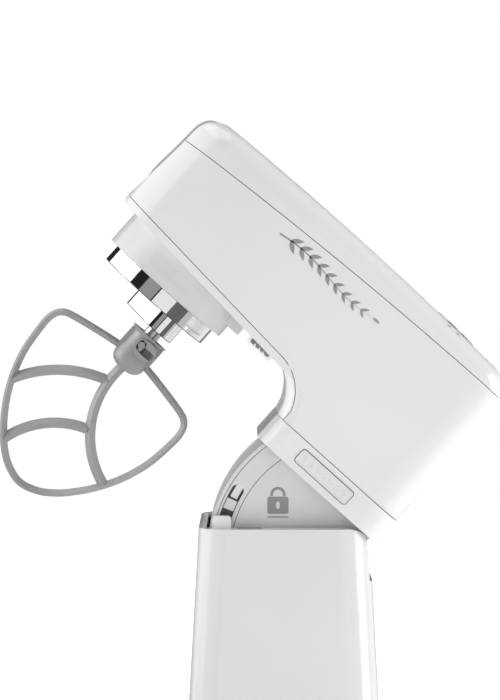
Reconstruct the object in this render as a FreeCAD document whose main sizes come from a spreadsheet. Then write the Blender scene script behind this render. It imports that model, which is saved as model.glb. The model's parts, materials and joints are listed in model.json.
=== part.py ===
"""Tilt-head stand mixer, built as separate pieces on their real axes.

Every size below is measured from the hinge of the head: y runs to the rear,
z runs up and x runs to the right-hand side. Head pieces are drawn with the
head shut and are then opened about the hinge.
"""
import FreeCAD, Part
import math
import os
import re
import Sketcher
from FreeCAD import Placement, Rotation, Vector

os.makedirs("parts", exist_ok=True)
doc = FreeCAD.newDocument("stand_mixer")
sheet = doc.addObject("Spreadsheet::Sheet", "sizes")

SIZES = dict(
    # where the hinge stands over the middle of the whole machine
    hinge_back=97.8, hinge_height=176, head_open=42,
    # head casing
    head_half=59, shell_wall=3, seam_gap=0.5, top_round=19, under_round=12,
    nose_top_y=-284, nose_top_z=171.6, crown_y=-150, crown_z=175.2,
    rear_top_y=4.5, rear_top_z=171, rear_mid_y=8.3, rear_mid_z=110, neck_rear=10.8,
    nose_mid_y=-286, nose_mid_z=125, nose_low_y=-290.4, nose_low_z=87.5,
    chin_y=-284.5, chin_z=81.8, throat_y=-124, throat_z=69.3, neck_front=-105,
    nose_corner=38, rear_corner=27,
    upper_seam_front=143, upper_seam_mid=153.2, upper_seam_rear=157.4, trim_height=6,
    # collar round the foot of the neck
    band_low=21.3, band_high=43, band_wall=2.4, band_proud=0.6, lip_depth=3,
    badge_low=26.8, badge_high=37.7, badge_front=-75, badge_rear=-27, badge_thick=0.9,
    # quadrant cover that dips into the column
    quadrant_r=100, quadrant_wall=2.5, quadrant_half=46.5, quadrant_end=80, quadrant_rise=19.5,
    hub_r=16,
    track_r=91, slot_half=4.5, slot_top=11, slot_end=76, catch_thick=2.2,
    # hinge
    pin_r=5, running_gap=0.05, knuckle_r=13, arm_in=35, arm_thick=7, arm_rear=1, side_gap=1,
    boss_gap=2.5, boss_wall=5,
    # planetary drive
    drive_y=-226, skirt_r=53, skirt_low=55, skirt_wall=2.5, step_rear=-163.5, step_low=65,
    carrier_r=46.5, carrier_low=42, boss_low=28, boss_r=13.7, gap=0.5,
    tooth_size=2, ring_teeth=46, planet_teeth=14, planet_lead=30, ring_low=58, ring_high=74,
    spindle_r=6, spindle_low=-1, main_shaft_r=6, bearing_r=13, bearing_high=8,
    fine_tooth=1.25, main_teeth=55, lay_teeth=11, main_low=101, main_high=111, lay_r=4,
    bevel_reach=12, bevel_face=5, bevel_gap=0.3,
    # belt and motor
    belt_low=134, belt_high=144, wheel_r=36, pulley_r=7.2, belt_thick=1.5, belt_gap=0.15,
    motor_y=-50, can_r=37, can_wall=2.5, can_low=62, can_high=118, magnet_thick=5.5,
    rotor_gap=0.6, motor_shaft_r=3, commutator_r=11, brush_w=6,
    deck_low=84, deck_high=90, deck_half=46,
    # front drive port and its cover
    port_z=125, port_bore=12, port_rim=16.5, port_front=-283.8, port_back=-274,
    socket_r=8, socket_square=9.5,
    flap_half=30, flap_low=108, flap_rear=-269, flap_gap=0.5, flap_thick=1.9,
    flap_pin_y=-268.9, flap_pin_z=173.95, flap_pin_r=0.95, flap_pin_end=24,
    # speed dial
    dial_y=-47.5, dial_z=173.5, dial_lean=2, dial_r=17.5, bezel_r=30, stem_r=4,
    # lamp
    lamp_front=-155.5, lamp_rear=-134, lamp_low=65.8, lamp_half=20, lens_wall=1.2,
    # flat beater
    beater_half=66, beater_deep=10, beater_bar=5, beater_rib=7.6, beater_low=-122.2,
    beater_shoulder=-18,
    beater_hub_r=13.6, collar_r=15, hub_high=22, hub_bottom=-9, cross_pin_r=2.6,
    cross_pin_z=14, beater_push=4,
    # column and foot
    column_half=62, column_flare=10, column_front=-105.5, column_lean=11, column_rear=17,
    column_top=20.6, column_corner=20, column_back_corner=27, base_wall=3,
    roof_half=48, rear_way=4.5,
    foot_low=-172, foot_high=-137, foot_front=-309, foot_rear=40, foot_half=105,
    foot_taper=6, foot_corner=30, foot_round=12, blend_round=14,
    rubber_high=4, rubber_r=11, cover_thick=2.5, fit_gap=0.3,
    # seat for the bowl's lugs
    seat_r=44.5, seat_rim=56, seat_depth=6, seat_high=-134, seat_floor=4,
    lug_wide=14, lug_deep=7.5, lug_lap=4,
    # stop blocks, resting pads and the lock
    block_front=-96, block_rear=-82.5, block_high=29.5, block_in=48, block_out=54.8,
    pad_front=-78, pad_rear=-60.5,
    button_r=9, button_proud=4, bolt_r=3.5, bolt_angle=30,
    gland_r=9, gland_z=-125, gland_bore=3.6, screw_r=2, screw_head_r=3.8,
)
for row, (alias, number) in enumerate(SIZES.items(), start=1):
    sheet.set("A%d" % row, alias)
    sheet.set("B%d" % row, str(number))
    sheet.setAlias("B%d" % row, alias)
doc.recompute()

FUNCTIONS = "sin|cos|tan|asin|acos|atan|sqrt|min|max|abs"


def cells(text):
    """Point every size named in an expression at the sheet."""
    return re.sub(r"\b(?!(?:%s)\b)([a-z][a-z_]*)\b" % FUNCTIONS, r"sizes.\1", text)


def value(text):
    """Give the present number of an expression."""
    return float(sheet.evalExpression(cells(text)))


def bind(thing, prop, text):
    """Drive one property of an object from the sheet."""
    thing.setExpression(prop, cells(text))


# ---------------------------------------------------------------- plain solids
def block(name, x, y, z):
    """Make a block; x, y and z are each a low and a high expression."""
    solid = doc.addObject("Part::Box", name)
    for prop, place, (low, high) in zip(("Length", "Width", "Height"), "xyz", (x, y, z)):
        bind(solid, prop, "(%s) - (%s)" % (high, low))
        bind(solid, "Placement.Base.%s" % place, low)
    return solid


TURNS = {"x": Rotation(Vector(0, 1, 0), 90), "y": Rotation(Vector(1, 0, 0), -90), "z": Rotation()}


def rod(name, along, centre, span, radius, kind="Part::Cylinder", end_radius=None):
    """Make a cylinder or cone along an axis; centre gives the other two coordinates."""
    solid = doc.addObject(kind, name)
    solid.Placement = Placement(Vector(), TURNS[along])
    low, high = span
    bind(solid, "Height", "(%s) - (%s)" % (high, low))
    if end_radius is None:
        bind(solid, "Radius", radius)
    else:
        bind(solid, "Radius1", radius)
        bind(solid, "Radius2", end_radius)
    across = [letter for letter in "xyz" if letter != along]
    for letter, text in zip(across, centre):
        bind(solid, "Placement.Base.%s" % letter, text)
    bind(solid, "Placement.Base.%s" % along, low)
    return solid


def fuse(name, *parts):
    """Join pieces, or group loose ones, as one object."""
    joined = doc.addObject("Part::MultiFuse", name)
    joined.Shapes = list(parts)
    return joined


def cut(name, base, *tools):
    """Cut tools out of a base."""
    result = doc.addObject("Part::Cut", name)
    result.Base = base
    result.Tool = tools[0] if len(tools) == 1 else fuse(name + "_tools", *tools)
    return result


def common(name, base, tool):
    """Keep what two solids share."""
    result = doc.addObject("Part::Common", name)
    result.Base = base
    result.Tool = tool
    return result


def tube(name, along, centre, span, radius, bore):
    """Make a cylinder with a bore right through it."""
    low, high = span
    outside = rod(name + "_outside", along, centre, span, radius)
    inside = rod(name + "_bore", along, centre, ("(%s) - 1" % low, "(%s) + 1" % high), bore)
    return cut(name, outside, inside)


def mirrored(name, source):
    """Copy a piece to the other side of the machine."""
    other = doc.addObject("Part::Mirroring", name)
    other.Source = source
    other.Normal = Vector(1, 0, 0)
    return other


def pair(name, source):
    """Make a left and a right piece in one group."""
    return fuse(name, source, mirrored(name + "_left", source))


def round_edges(name, base, *rounds):
    """Fillet edges; each round is a radius and the test that picks out its edges."""
    doc.recompute()
    result = doc.addObject("Part::Fillet", name)
    result.Base = base
    picked = []
    for radius, chosen in rounds:
        size = value(radius)
        picked += [(number, size, size)
                   for number, edge in enumerate(base.Shape.Edges, start=1) if chosen(edge)]
    result.Edges = picked
    return result


# ------------------------------------------------------------ sketched outlines
def corner_points(path):
    """Give each corner of an outline as a point at its present size."""
    return [Vector(value(entry[0]), value(entry[1]), 0) for entry in path]


def sketch_outline(body, name, role, offset, path):
    """Draw a closed outline on one of a body's planes and bind its corners.

    An entry (u, v) is a corner reached by a straight line. An entry
    (u, v, mid_u, mid_v) is a corner reached by an arc through the mid point.
    """
    sketch = body.newObject("Sketcher::SketchObject", name)
    plane = [item for item in body.Origin.OriginFeatures if item.Role == role][0]
    sketch.AttachmentSupport = [(plane, "")]
    sketch.MapMode = "FlatFace"
    bind(sketch, "AttachmentOffset.Base.z", offset)
    corners = corner_points(path)
    count = len(path)
    reversed_arcs = []
    for index in range(count):
        start = corners[index - 1]
        end = corners[index]
        if len(path[index]) == 2:
            sketch.addGeometry(Part.LineSegment(start, end), False)
        else:
            middle = Vector(value(path[index][2]), value(path[index][3]), 0)
            sketch.addGeometry(Part.Arc(start, middle, end), False)
            if (sketch.getPoint(index, 1) - start).Length > 1e-6:
                reversed_arcs.append(index)
    for index in range(count):
        following = (index + 1) % count
        last = 1 if index in reversed_arcs else 2
        first = 2 if following in reversed_arcs else 1
        sketch.addConstraint(Sketcher.Constraint("Coincident", index, last, following, first))
        tie_point(sketch, index, last, path[index][0], path[index][1])
    for index in range(count):
        if len(path[index]) == 4:
            middle = Vector(value(path[index][2]), value(path[index][3]), 0)
            mark = sketch.addGeometry(Part.Point(middle), True)
            tie_point(sketch, mark, 1, path[index][2], path[index][3])
            sketch.addConstraint(Sketcher.Constraint("PointOnObject", mark, 1, index))
    return sketch


def tie_point(sketch, geometry, end, across, upward):
    """Hold one point of a sketch at two driven distances from its origin."""
    for kind, text in (("DistanceX", across), ("DistanceY", upward)):
        number = sketch.addConstraint(
            Sketcher.Constraint(kind, -1, 1, geometry, end, value(text)))
        bind(sketch, "Constraints[%d]" % number, text)


def pad(name, role, path, low, high):
    """Extrude an outline between two heights over its plane."""
    body = doc.addObject("PartDesign::Body", name)
    sketch = sketch_outline(body, name + "_sketch", role, low, path)
    feature = body.newObject("PartDesign::Pad", name + "_pad")
    feature.Profile = sketch
    bind(feature, "Length", "(%s) - (%s)" % (high, low))
    return body


def side_pad(name, path, half):
    """Extrude a side outline equally to both sides."""
    return pad(name, "YZ_Plane", path, "-(%s)" % half, half)


def plan_box(half, front, rear, front_corner, rear_corner):
    """Outline a rounded rectangle seen from above, with its own corner sizes."""
    part = "*(1 - sqrt(0.5))"
    return [
        ("-(%s)" % half, "(%s) + %s" % (front, front_corner)),
        ("-(%s) + %s" % (half, front_corner), front,
         "-(%s) + %s%s" % (half, front_corner, part), "(%s) + %s%s" % (front, front_corner, part)),
        ("(%s) - %s" % (half, front_corner), front),
        (half, "(%s) + %s" % (front, front_corner),
         "(%s) - %s%s" % (half, front_corner, part), "(%s) + %s%s" % (front, front_corner, part)),
        (half, "(%s) - %s" % (rear, rear_corner)),
        ("(%s) - %s" % (half, rear_corner), rear,
         "(%s) - %s%s" % (half, rear_corner, part), "(%s) - %s%s" % (rear, rear_corner, part)),
        ("-(%s) + %s" % (half, rear_corner), rear),
        ("-(%s)" % half, "(%s) - %s" % (rear, rear_corner),
         "-(%s) + %s%s" % (half, rear_corner, part), "(%s) - %s%s" % (rear, rear_corner, part)),
    ]


# -------------------------------------------- shapes made straight from curves
def feature(name, shape):
    """Hold a finished shape as an object of the document."""
    thing = doc.addObject("Part::Feature", name)
    thing.Shape = shape
    return thing


def loop_face(centre_one, radius_one, centre_two, radius_two):
    """Face inside a band pulled tight round two circles."""
    along = centre_two - centre_one
    lean = math.asin((radius_one - radius_two) / along.Length)
    unit = along.normalize()
    side = Vector(-unit.y, unit.x, 0)
    lift = unit * math.sin(lean)
    reach = side * math.cos(lean)
    one_up = centre_one + (lift + reach) * radius_one
    one_down = centre_one + (lift - reach) * radius_one
    two_up = centre_two + (lift + reach) * radius_two
    two_down = centre_two + (lift - reach) * radius_two
    edges = [
        Part.Arc(one_up, centre_one - unit * radius_one, one_down).toShape(),
        Part.LineSegment(one_down, two_down).toShape(),
        Part.Arc(two_down, centre_two + unit * radius_two, two_up).toShape(),
        Part.LineSegment(two_up, one_up).toShape(),
    ]
    return Part.Face(Part.Wire(edges))


def involute_flank(pitch_r, teeth, inner_r, outer_r, slack):
    """Give (radius, half angle) pairs along one flank of an involute tooth."""
    base_r = pitch_r * math.cos(math.radians(20))
    at_pitch = math.tan(math.radians(20)) - math.radians(20)
    half = math.pi / (2 * teeth) - slack / pitch_r
    flank = []
    for step in range(6):
        radius = inner_r + (outer_r - inner_r) * step / 5
        turn = math.acos(min(1.0, base_r / max(radius, base_r)))
        flank.append((radius, half + at_pitch - (math.tan(turn) - turn)))
    return flank


def gear_wire(teeth, size, inner_r, outer_r, slack, first_angle):
    """Outline of a toothed wheel; the first tooth points along first_angle."""
    flank = involute_flank(teeth * size / 2, teeth, inner_r, outer_r, slack)
    points = []
    for tooth in range(teeth):
        middle = first_angle + 2 * math.pi * tooth / teeth
        for radius, half in flank:
            points.append(polar(radius, middle - half))
        for radius, half in reversed(flank):
            points.append(polar(radius, middle + half))
    return Part.makePolygon(points + points[:1])


def polar(radius, angle, centre=Vector()):
    """Point at a radius and an angle round a centre."""
    return centre + Vector(radius * math.cos(angle), radius * math.sin(angle), 0)


# ------------------------------------------------------------------ head casing
def head_form(tag, inset):
    """Solid form of the head casing, drawn in by an inset."""
    side = side_pad(tag + "_side", [
        ("neck_rear - (%s)" % inset, "band_high - 5"),
        ("rear_top_y - (%s)" % inset, "rear_top_z - (%s)" % inset,
         "rear_mid_y - (%s)" % inset, "rear_mid_z"),
        ("nose_top_y + (%s)" % inset, "nose_top_z - (%s)" % inset,
         "crown_y", "crown_z - (%s)" % inset),
        ("nose_low_y + (%s)" % inset, "nose_low_z",
         "nose_mid_y + (%s)" % inset, "nose_mid_z"),
        ("chin_y", "chin_z + (%s)" % inset,
         "chin_y - 4.2 + 0.7*(%s)" % inset, "chin_z + 1.8 + 0.7*(%s)" % inset),
        ("throat_y", "throat_z + (%s)" % inset),
        ("neck_front + (%s)" % inset, "band_high",
         "throat_y + 12.5 + 0.7*(%s)" % inset, "throat_z - 10.7 + 0.7*(%s)" % inset),
        ("neck_front + (%s)" % inset, "band_high - 5"),
    ], "head_half + 10")
    plan = pad(tag + "_plan", "XY_Plane", plan_box(
        "head_half - (%s)" % inset, "nose_low_y + (%s)" % inset, "neck_rear - (%s)" % inset,
        "(nose_corner - (%s))" % inset, "(rear_corner - (%s))" % inset), "0", "crown_z + 20")
    body = common(tag + "_body", side, plan)
    top = value("upper_seam_front")
    side_x = value("head_half - (%s)" % inset) - 0.1
    throat = value("throat_y") - 1
    neck = value("neck_front + 20")
    return round_edges(
        tag, body,
        ("top_round - (%s)" % inset, lambda edge: edge.BoundBox.ZMin > top),
        ("under_round - (%s)" % inset,
         lambda edge: edge.BoundBox.XLength < 0.1 and abs(edge.BoundBox.XMax) > side_x
         and edge.BoundBox.YMin > throat and edge.BoundBox.YMax < neck))


head_outer = head_form("head_outer", "0")
head_inner = head_form("head_inner", "shell_wall")
head_skin = cut("head_skin", head_outer, head_inner)

FAR_FRONT = "nose_low_y - 10"
FAR_REAR = "neck_rear + 10"


def lower_seam(shift):
    """Corners of the line where the casing meets the cover under it."""
    return [
        (FAR_FRONT, "chin_z + trim_height + 0.6 + %s" % shift),
        ("throat_y - 4", "throat_z + trim_height + %s" % shift),
        ("neck_front + 5 + %s" % shift, "band_high + 8",
         "throat_y + 16.5 + 0.7*%s" % shift, "throat_z - 5.3 + 0.7*%s" % shift),
        ("neck_front + 5 + %s" % shift, "band_high"),
    ]


over_seam = side_pad("over_seam", [
    (FAR_FRONT, "crown_z + 10"),
    (FAR_FRONT, "upper_seam_front"),
    (FAR_REAR, "upper_seam_rear", "crown_y", "upper_seam_mid"),
    (FAR_REAR, "crown_z + 10"),
], "head_half + 10")
between_seams = side_pad("between_seams", lower_seam("seam_gap") + [
    (FAR_REAR, "band_high"),
    (FAR_REAR, "upper_seam_rear - seam_gap"),
    (FAR_FRONT, "upper_seam_front - seam_gap", "crown_y", "upper_seam_mid - seam_gap"),
], "head_half + 10")
under_seam = side_pad("under_seam", lower_seam("0") + [
    (FAR_FRONT, "band_high"),
], "head_half + 10")


def dial_rod(name, low, high, radius):
    """Make a cylinder on the leaning axis of the speed dial."""
    solid = doc.addObject("Part::Cylinder", name)
    solid.Placement = Placement(Vector(), Rotation(Vector(1, 0, 0), -value("dial_lean")))
    bind(solid, "Height", "(%s) - (%s)" % (high, low))
    bind(solid, "Radius", radius)
    bind(solid, "Placement.Base.y", "dial_y + (%s)*sin(dial_lean)" % low)
    bind(solid, "Placement.Base.z", "dial_z + (%s)*cos(dial_lean)" % low)
    return solid


head_top_cover = cut(
    "head_top_cover", common("top_skin", head_skin, over_seam),
    dial_rod("dial_recess", "-1.2", "20", "bezel_r + running_gap"),
    dial_rod("dial_hole", "-10", "10", "stem_r + gap"))
head_lower_shell = cut(
    "head_lower_shell", common("middle_skin", head_skin, between_seams),
    rod("port_hole", "y", ("0", "port_z"), ("port_front - 10", "port_back + 5"), "port_rim"))
underside_cover = cut(
    "underside_cover", common("under_skin", head_skin, under_seam),
    rod("drive_hole", "z", ("0", "drive_y"), ("skirt_low", "deck_high"), "skirt_r - skirt_wall"))

# ------------------------------------------------------- collar and the quadrant
NECK_CORNER = "(rear_corner - 3)"
neck_band = cut(
    "neck_band",
    pad("band_outside", "XY_Plane", plan_box(
        "head_half + band_proud", "neck_front + lip_depth", "neck_rear + band_proud",
        "under_round", NECK_CORNER), "band_low", "band_high - seam_gap"),
    pad("band_inside", "XY_Plane", plan_box(
        "head_half + band_proud - band_wall", "neck_front + lip_depth + band_wall",
        "neck_rear + band_proud - band_wall", "(under_round - band_wall)",
        "(rear_corner - 3 - band_wall)"), "band_low - 1", "band_high + 1"))
neck_lip = block(
    "neck_lip", ("-head_half + under_round", "head_half - under_round"),
    ("neck_front", "neck_front + lip_depth"), ("band_low", "band_high - seam_gap"))
badge_plates = pair("badge_plates", round_edges(
    "badge_plate", block(
        "badge_blank", ("head_half + band_proud", "head_half + band_proud + badge_thick"),
        ("badge_front", "badge_rear"), ("badge_low", "badge_high")),
    ("badge_thick*2.5", lambda edge: edge.BoundBox.XLength > 0.5)))


def spoke(radius, angle):
    """Point on a circle round the hinge; the angle falls from straight forward."""
    return "-(%s)*cos(%s)" % (radius, angle), "-(%s)*sin(%s)" % (radius, angle)


def strip(name, inner, outer, start, end, low, high):
    """Curved strip round the hinge, from x = low to x = high."""
    middle = "((%s) + (%s))/2" % (start, end)
    return pad(name, "YZ_Plane", [
        spoke(inner, start) + spoke(inner, middle),
        spoke(outer, start),
        spoke(outer, end) + spoke(outer, middle),
        spoke(inner, end),
    ], low, high)


QUADRANT_IN = "quadrant_half - quadrant_wall"
QUADRANT_TOP = "quadrant_r*sin(quadrant_rise)"
quadrant_plate = pad("quadrant_plate", "YZ_Plane", [
    spoke("quadrant_r", "-quadrant_rise"),
    spoke("quadrant_r", "quadrant_end")
    + spoke("quadrant_r", "(quadrant_end - quadrant_rise)/2"),
    ("hub_r*cos(quadrant_end)", "-hub_r*sin(quadrant_end)"),
    ("hub_r", "0", "hub_r*cos(quadrant_end/2)", "-hub_r*sin(quadrant_end/2)"),
    ("neck_rear - 7", "sqrt(hub_r*hub_r - (neck_rear - 7)*(neck_rear - 7))",
     "hub_r*cos(35)", "hub_r*sin(35)"),
    ("neck_rear - 7", QUADRANT_TOP),
], QUADRANT_IN, "quadrant_half")
guide_slot = strip("guide_slot", "track_r - slot_half", "track_r + slot_half",
                   "slot_top", "slot_end", "quadrant_half - 5", "quadrant_half + 5")
slot_ends = [
    rod("slot_round_" + tag, "x", spoke("track_r", angle),
        ("quadrant_half - 5", "quadrant_half + 5"), "slot_half")
    for tag, angle in (("top", "slot_top"), ("end", "slot_end"))]
ledges = [
    block("ledge_" + tag, ("quadrant_half", "head_half + band_proud - band_wall"),
          (front, "%s + 18" % front), ("band_low + 8", "band_low + 11"))
    for tag, front in (("front", "pad_front + 2"), ("rear", "pad_rear + 22"))]
quadrant_side = cut(
    "quadrant_side", fuse("quadrant_blank", quadrant_plate, *ledges), guide_slot, *slot_ends,
    rod("quadrant_eye", "x", ("0", "0"), ("0", "quadrant_half + 1"), "pin_r + fit_gap"))
quadrant_sides = pair("quadrant_sides", quadrant_side)
quadrant_front = strip(
    "quadrant_front", "quadrant_r - quadrant_wall", "quadrant_r", "-quadrant_rise", "quadrant_end",
    "-(%s)" % QUADRANT_IN, QUADRANT_IN)
catch_plates = pair("catch_plates", cut(
    "catch_plate",
    fuse("catch_blank", *[
        strip("catch_" + tag, "track_r - slot_half - 1", "track_r + slot_half + 1",
              start, end, "%s - catch_thick" % QUADRANT_IN, QUADRANT_IN)
        for tag, start, end in (("stop", "slot_top - 3", "slot_top + 11.5"),
                                ("keep", "bolt_angle - 5", "bolt_angle + 8"))]),
    rod("catch_hole", "x", spoke("track_r", "bolt_angle"),
        ("quadrant_half - 12", "quadrant_half"), "bolt_r + 0.8")))

# ------------------------------------------------------------ chassis of the head
LAY_Y = "drive_y + (main_teeth + lay_teeth)*fine_tooth/2"
ARM_OUT = "arm_in + arm_thick"
deck = block("deck", ("-deck_half", "deck_half"), ("drive_y - 36", "neck_front + 1"),
             ("deck_low", "deck_high"))
ring_wall = rod("ring_wall", "z", ("0", "drive_y"), ("ring_high", "deck_low"),
                "skirt_r - skirt_wall - fit_gap")
main_boss = rod("main_boss", "z", ("0", "drive_y"), ("ring_high + 1", "main_low - 2"),
                "bearing_r + 4")
lay_boss = rod("lay_boss", "z", ("0", LAY_Y), ("deck_low - 6", "main_low - 3"), "lay_r + 6")
front_post = block("front_post", ("-socket_r - 6", "socket_r + 6"),
                   ("port_back", "port_back + 10.5"), ("deck_low + 2", "port_z + socket_r + 6"))
front_tongue = block("front_tongue", ("-20", "20"), ("port_back", "drive_y - 35"),
                     ("deck_low + 2", "deck_high"))
arm = block("arm", ("arm_in", ARM_OUT), ("-knuckle_r + 1", "arm_rear"), ("0", "can_high + 10"))
rail = block("rail", (ARM_OUT, "%s + 4" % ARM_OUT), ("neck_front - 5", "arm_rear"),
             ("deck_low", "deck_high + 6"))
knuckle = rod("knuckle", "x", ("0", "0"), ("arm_in - 1", "quadrant_half - quadrant_wall - side_gap"),
              "knuckle_r")
motor_shelf = block("motor_shelf", ("-%s" % ARM_OUT, ARM_OUT), ("motor_y - can_r - 4", "arm_rear"),
                    ("can_high + 6", "can_high + 10"))
chassis_sides = fuse("chassis_sides", arm, rail, knuckle)
head_chassis = cut(
    "head_chassis",
    fuse("chassis_blank", deck, ring_wall, main_boss, lay_boss, front_post, front_tongue,
         motor_shelf, chassis_sides, mirrored("chassis_sides_left", chassis_sides)),
    rod("ring_space", "z", ("0", "drive_y"), ("ring_high - 1", "ring_high + 0.8"),
        "skirt_r - skirt_wall - 4"),
    rod("main_bore", "z", ("0", "drive_y"), ("ring_high", "main_low"), "bearing_r"),
    rod("lay_bore", "z", ("0", LAY_Y), ("deck_low - 8", "main_low"), "lay_r + 3"),
    rod("post_bore", "y", ("0", "port_z"), ("port_back - 1", "port_back + 12"),
        "socket_r + running_gap"),
    rod("shelf_hole", "z", ("0", "motor_y"), ("can_high", "can_high + 20"), "pulley_r + 4"),
    rod("pin_bore", "x", ("0", "0"), ("-head_half", "head_half"), "pin_r + running_gap"))
main_bearings = fuse("main_bearings", *[
    tube("main_bearing_" + tag, "z", ("0", "drive_y"), (low, "%s + bearing_high" % low),
         "bearing_r", "main_shaft_r + running_gap")
    for tag, low in (("low", "ring_high + 1.5"), ("high", "main_low - 2 - bearing_high"))])
shaft_bushes = fuse("shaft_bushes", *[
    tube("lay_bush_" + tag, "z", ("0", LAY_Y), (low, "%s + 6" % low),
         "lay_r + 3", "lay_r + running_gap")
    for tag, low in (("low", "deck_low - 6"), ("high", "main_low - 9"))])

# ----------------------------------------------- drum, ring gear and lamp below
skirt_blank = fuse(
    "skirt_blank",
    rod("skirt_drum", "z", ("0", "drive_y"), ("skirt_low", "deck_low"), "skirt_r"),
    block("skirt_step", ("-20", "20"), ("drive_y + skirt_r - 8", "step_rear"),
          ("step_low", "deck_low")))
hub_skirt = cut(
    "hub_skirt", skirt_blank,
    rod("skirt_space", "z", ("0", "drive_y"), ("skirt_low - 1", "deck_high"), "skirt_r - skirt_wall"),
    head_outer)


RING_R = value("ring_teeth*tooth_size/2")
PLANET_R = value("planet_teeth*tooth_size/2")
SPREAD = RING_R - PLANET_R
LEAD = math.radians(value("planet_lead"))
DRIVE = Vector(0, value("drive_y"), 0)
SPINDLE = polar(SPREAD, LEAD, DRIVE)
SPINDLE_X = "((ring_teeth - planet_teeth)*tooth_size/2*cos(planet_lead))"
SPINDLE_Y = "(drive_y + (ring_teeth - planet_teeth)*tooth_size/2*sin(planet_lead))"
ADDENDUM = 0.7
DEDENDUM = 1.0
SLACK = 0.12


def ring_shape():
    """Internal gear: a ring whose tooth gap faces the spindle at rest."""
    size = value("tooth_size")
    teeth = int(value("ring_teeth"))
    high = value("ring_high - ring_low")
    gap_turn = LEAD + math.pi / teeth
    hole = gear_wire(teeth, size, RING_R - ADDENDUM * size, RING_R + DEDENDUM * size, -SLACK,
                     gap_turn + math.pi / teeth)
    rim = Part.Wire(Part.makeCircle(value("skirt_r - skirt_wall - fit_gap")))
    solid = Part.Face(rim).cut(Part.Face(hole)).extrude(Vector(0, 0, high))
    solid.translate(DRIVE + Vector(0, 0, value("ring_low")))
    return solid


ring_gear = feature("ring_gear", ring_shape())


def toothed_wheel(teeth, size, bore, first_angle, centre, low, high):
    """External gear with a round bore."""
    pitch_r = teeth * size / 2
    outline = gear_wire(teeth, size, pitch_r - DEDENDUM * size, pitch_r + ADDENDUM * size, SLACK,
                        first_angle)
    face = Part.Face(outline).cut(Part.Face(Part.Wire(Part.makeCircle(bore))))
    solid = face.extrude(Vector(0, 0, high - low))
    solid.translate(centre + Vector(0, 0, low))
    return solid


planet_pinion = feature("planet_pinion", toothed_wheel(
    int(value("planet_teeth")), value("tooth_size"), value("spindle_r"), LEAD, SPINDLE,
    value("ring_low + 1"), value("ring_high - 1")))
LAY = Vector(0, value(LAY_Y), 0)
main_gear = feature("main_gear", toothed_wheel(
    int(value("main_teeth")), value("fine_tooth"), value("main_shaft_r"), math.pi / 2, DRIVE,
    value("main_low"), value("main_high")))
lay_gear = feature("lay_gear", toothed_wheel(
    int(value("lay_teeth")), value("fine_tooth"), value("lay_r - 0.5"),
    math.pi / value("lay_teeth") - math.pi / 2, LAY,
    value("main_low - 1"), value("main_high + 1")))

lens_box = block("lens_box", ("-lamp_half", "lamp_half"), ("lamp_front", "lamp_rear"),
                 ("lamp_low", "deck_low"))
lens_space = block(
    "lens_space", ("-lamp_half + lens_wall", "lamp_half - lens_wall"),
    ("lamp_front + lens_wall", "lamp_rear - lens_wall"), ("lamp_low + lens_wall", "deck_high"))
lamp_lens = cut("lamp_lens", lens_box, lens_space, head_outer)
lamp_board = block("lamp_board", ("-lamp_half + 3", "lamp_half - 3"),
                   ("lamp_front + 5", "lamp_rear - 5"), ("lamp_low + 3.2", "lamp_low + 4.4"))

# ------------------------------------------------------- planet carrier and shaft
boss = feature("boss", loop_face(DRIVE, value("boss_r"), SPINDLE, value("boss_r")).extrude(
    Vector(0, 0, value("carrier_low - boss_low + 1"))))
boss.Placement = Placement(Vector(0, 0, value("boss_low")), Rotation())
planet_carrier = cut(
    "planet_carrier",
    fuse("carrier_blank", boss, rod("carrier_disc", "z", ("0", "drive_y"),
                                    ("carrier_low", "skirt_low - gap"), "carrier_r")),
    rod("spindle_bore", "z", (SPINDLE_X, SPINDLE_Y), ("boss_low - 1", "skirt_low + 1"),
        "spindle_r + running_gap"),
    rod("shaft_seat", "z", ("0", "drive_y"), ("carrier_low + 3", "skirt_low + 1"), "main_shaft_r"))
carrier_shaft = rod("carrier_shaft", "z", ("0", "drive_y"),
                    ("carrier_low + 3", "port_z - bevel_reach + bevel_face"), "main_shaft_r")
bevel_gear = cut(
    "bevel_gear",
    rod("bevel_blank", "z", ("0", "drive_y"),
        ("port_z - bevel_reach", "port_z - bevel_reach + bevel_face"),
        "bevel_reach - bevel_gap", "Part::Cone", "bevel_reach - bevel_face - bevel_gap"),
    rod("bevel_bore", "z", ("0", "drive_y"), ("port_z - bevel_reach - 1", "port_z"), "main_shaft_r"))

# -------------------------------------------------------------- spindle and beater
beater_spindle = cut(
    "beater_spindle",
    rod("spindle_shaft", "z", (SPINDLE_X, SPINDLE_Y), ("spindle_low", "ring_high + 0.5"), "spindle_r"),
    rod("cross_pin_hole", "x", (SPINDLE_Y, "cross_pin_z"),
        ("%s - collar_r" % SPINDLE_X, "%s + collar_r" % SPINDLE_X), "cross_pin_r"))
bayonet_pin = rod("bayonet_pin", "x", (SPINDLE_Y, "cross_pin_z"),
                  ("%s - beater_hub_r - 0.5" % SPINDLE_X, "%s + beater_hub_r + 0.5" % SPINDLE_X),
                  "cross_pin_r")


def arc_band(start, middle, end, width):
    """Face of a curved bar of even width that runs through three points."""
    circle = Part.Arc(start, middle, end).toShape().Curve
    centre = circle.Center
    rails = []
    for shift in (-width / 2, width / 2):
        rails.append([centre + (point - centre) * (1 + shift / circle.Radius)
                      for point in (start, middle, end)])
    inner, outer = rails
    edges = [
        Part.Arc(*inner).toShape(),
        Part.LineSegment(inner[2], outer[2]).toShape(),
        Part.Arc(*outer[::-1]).toShape(),
        Part.LineSegment(outer[0], inner[0]).toShape(),
    ]
    return Part.Face(Part.Wire(edges))


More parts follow.
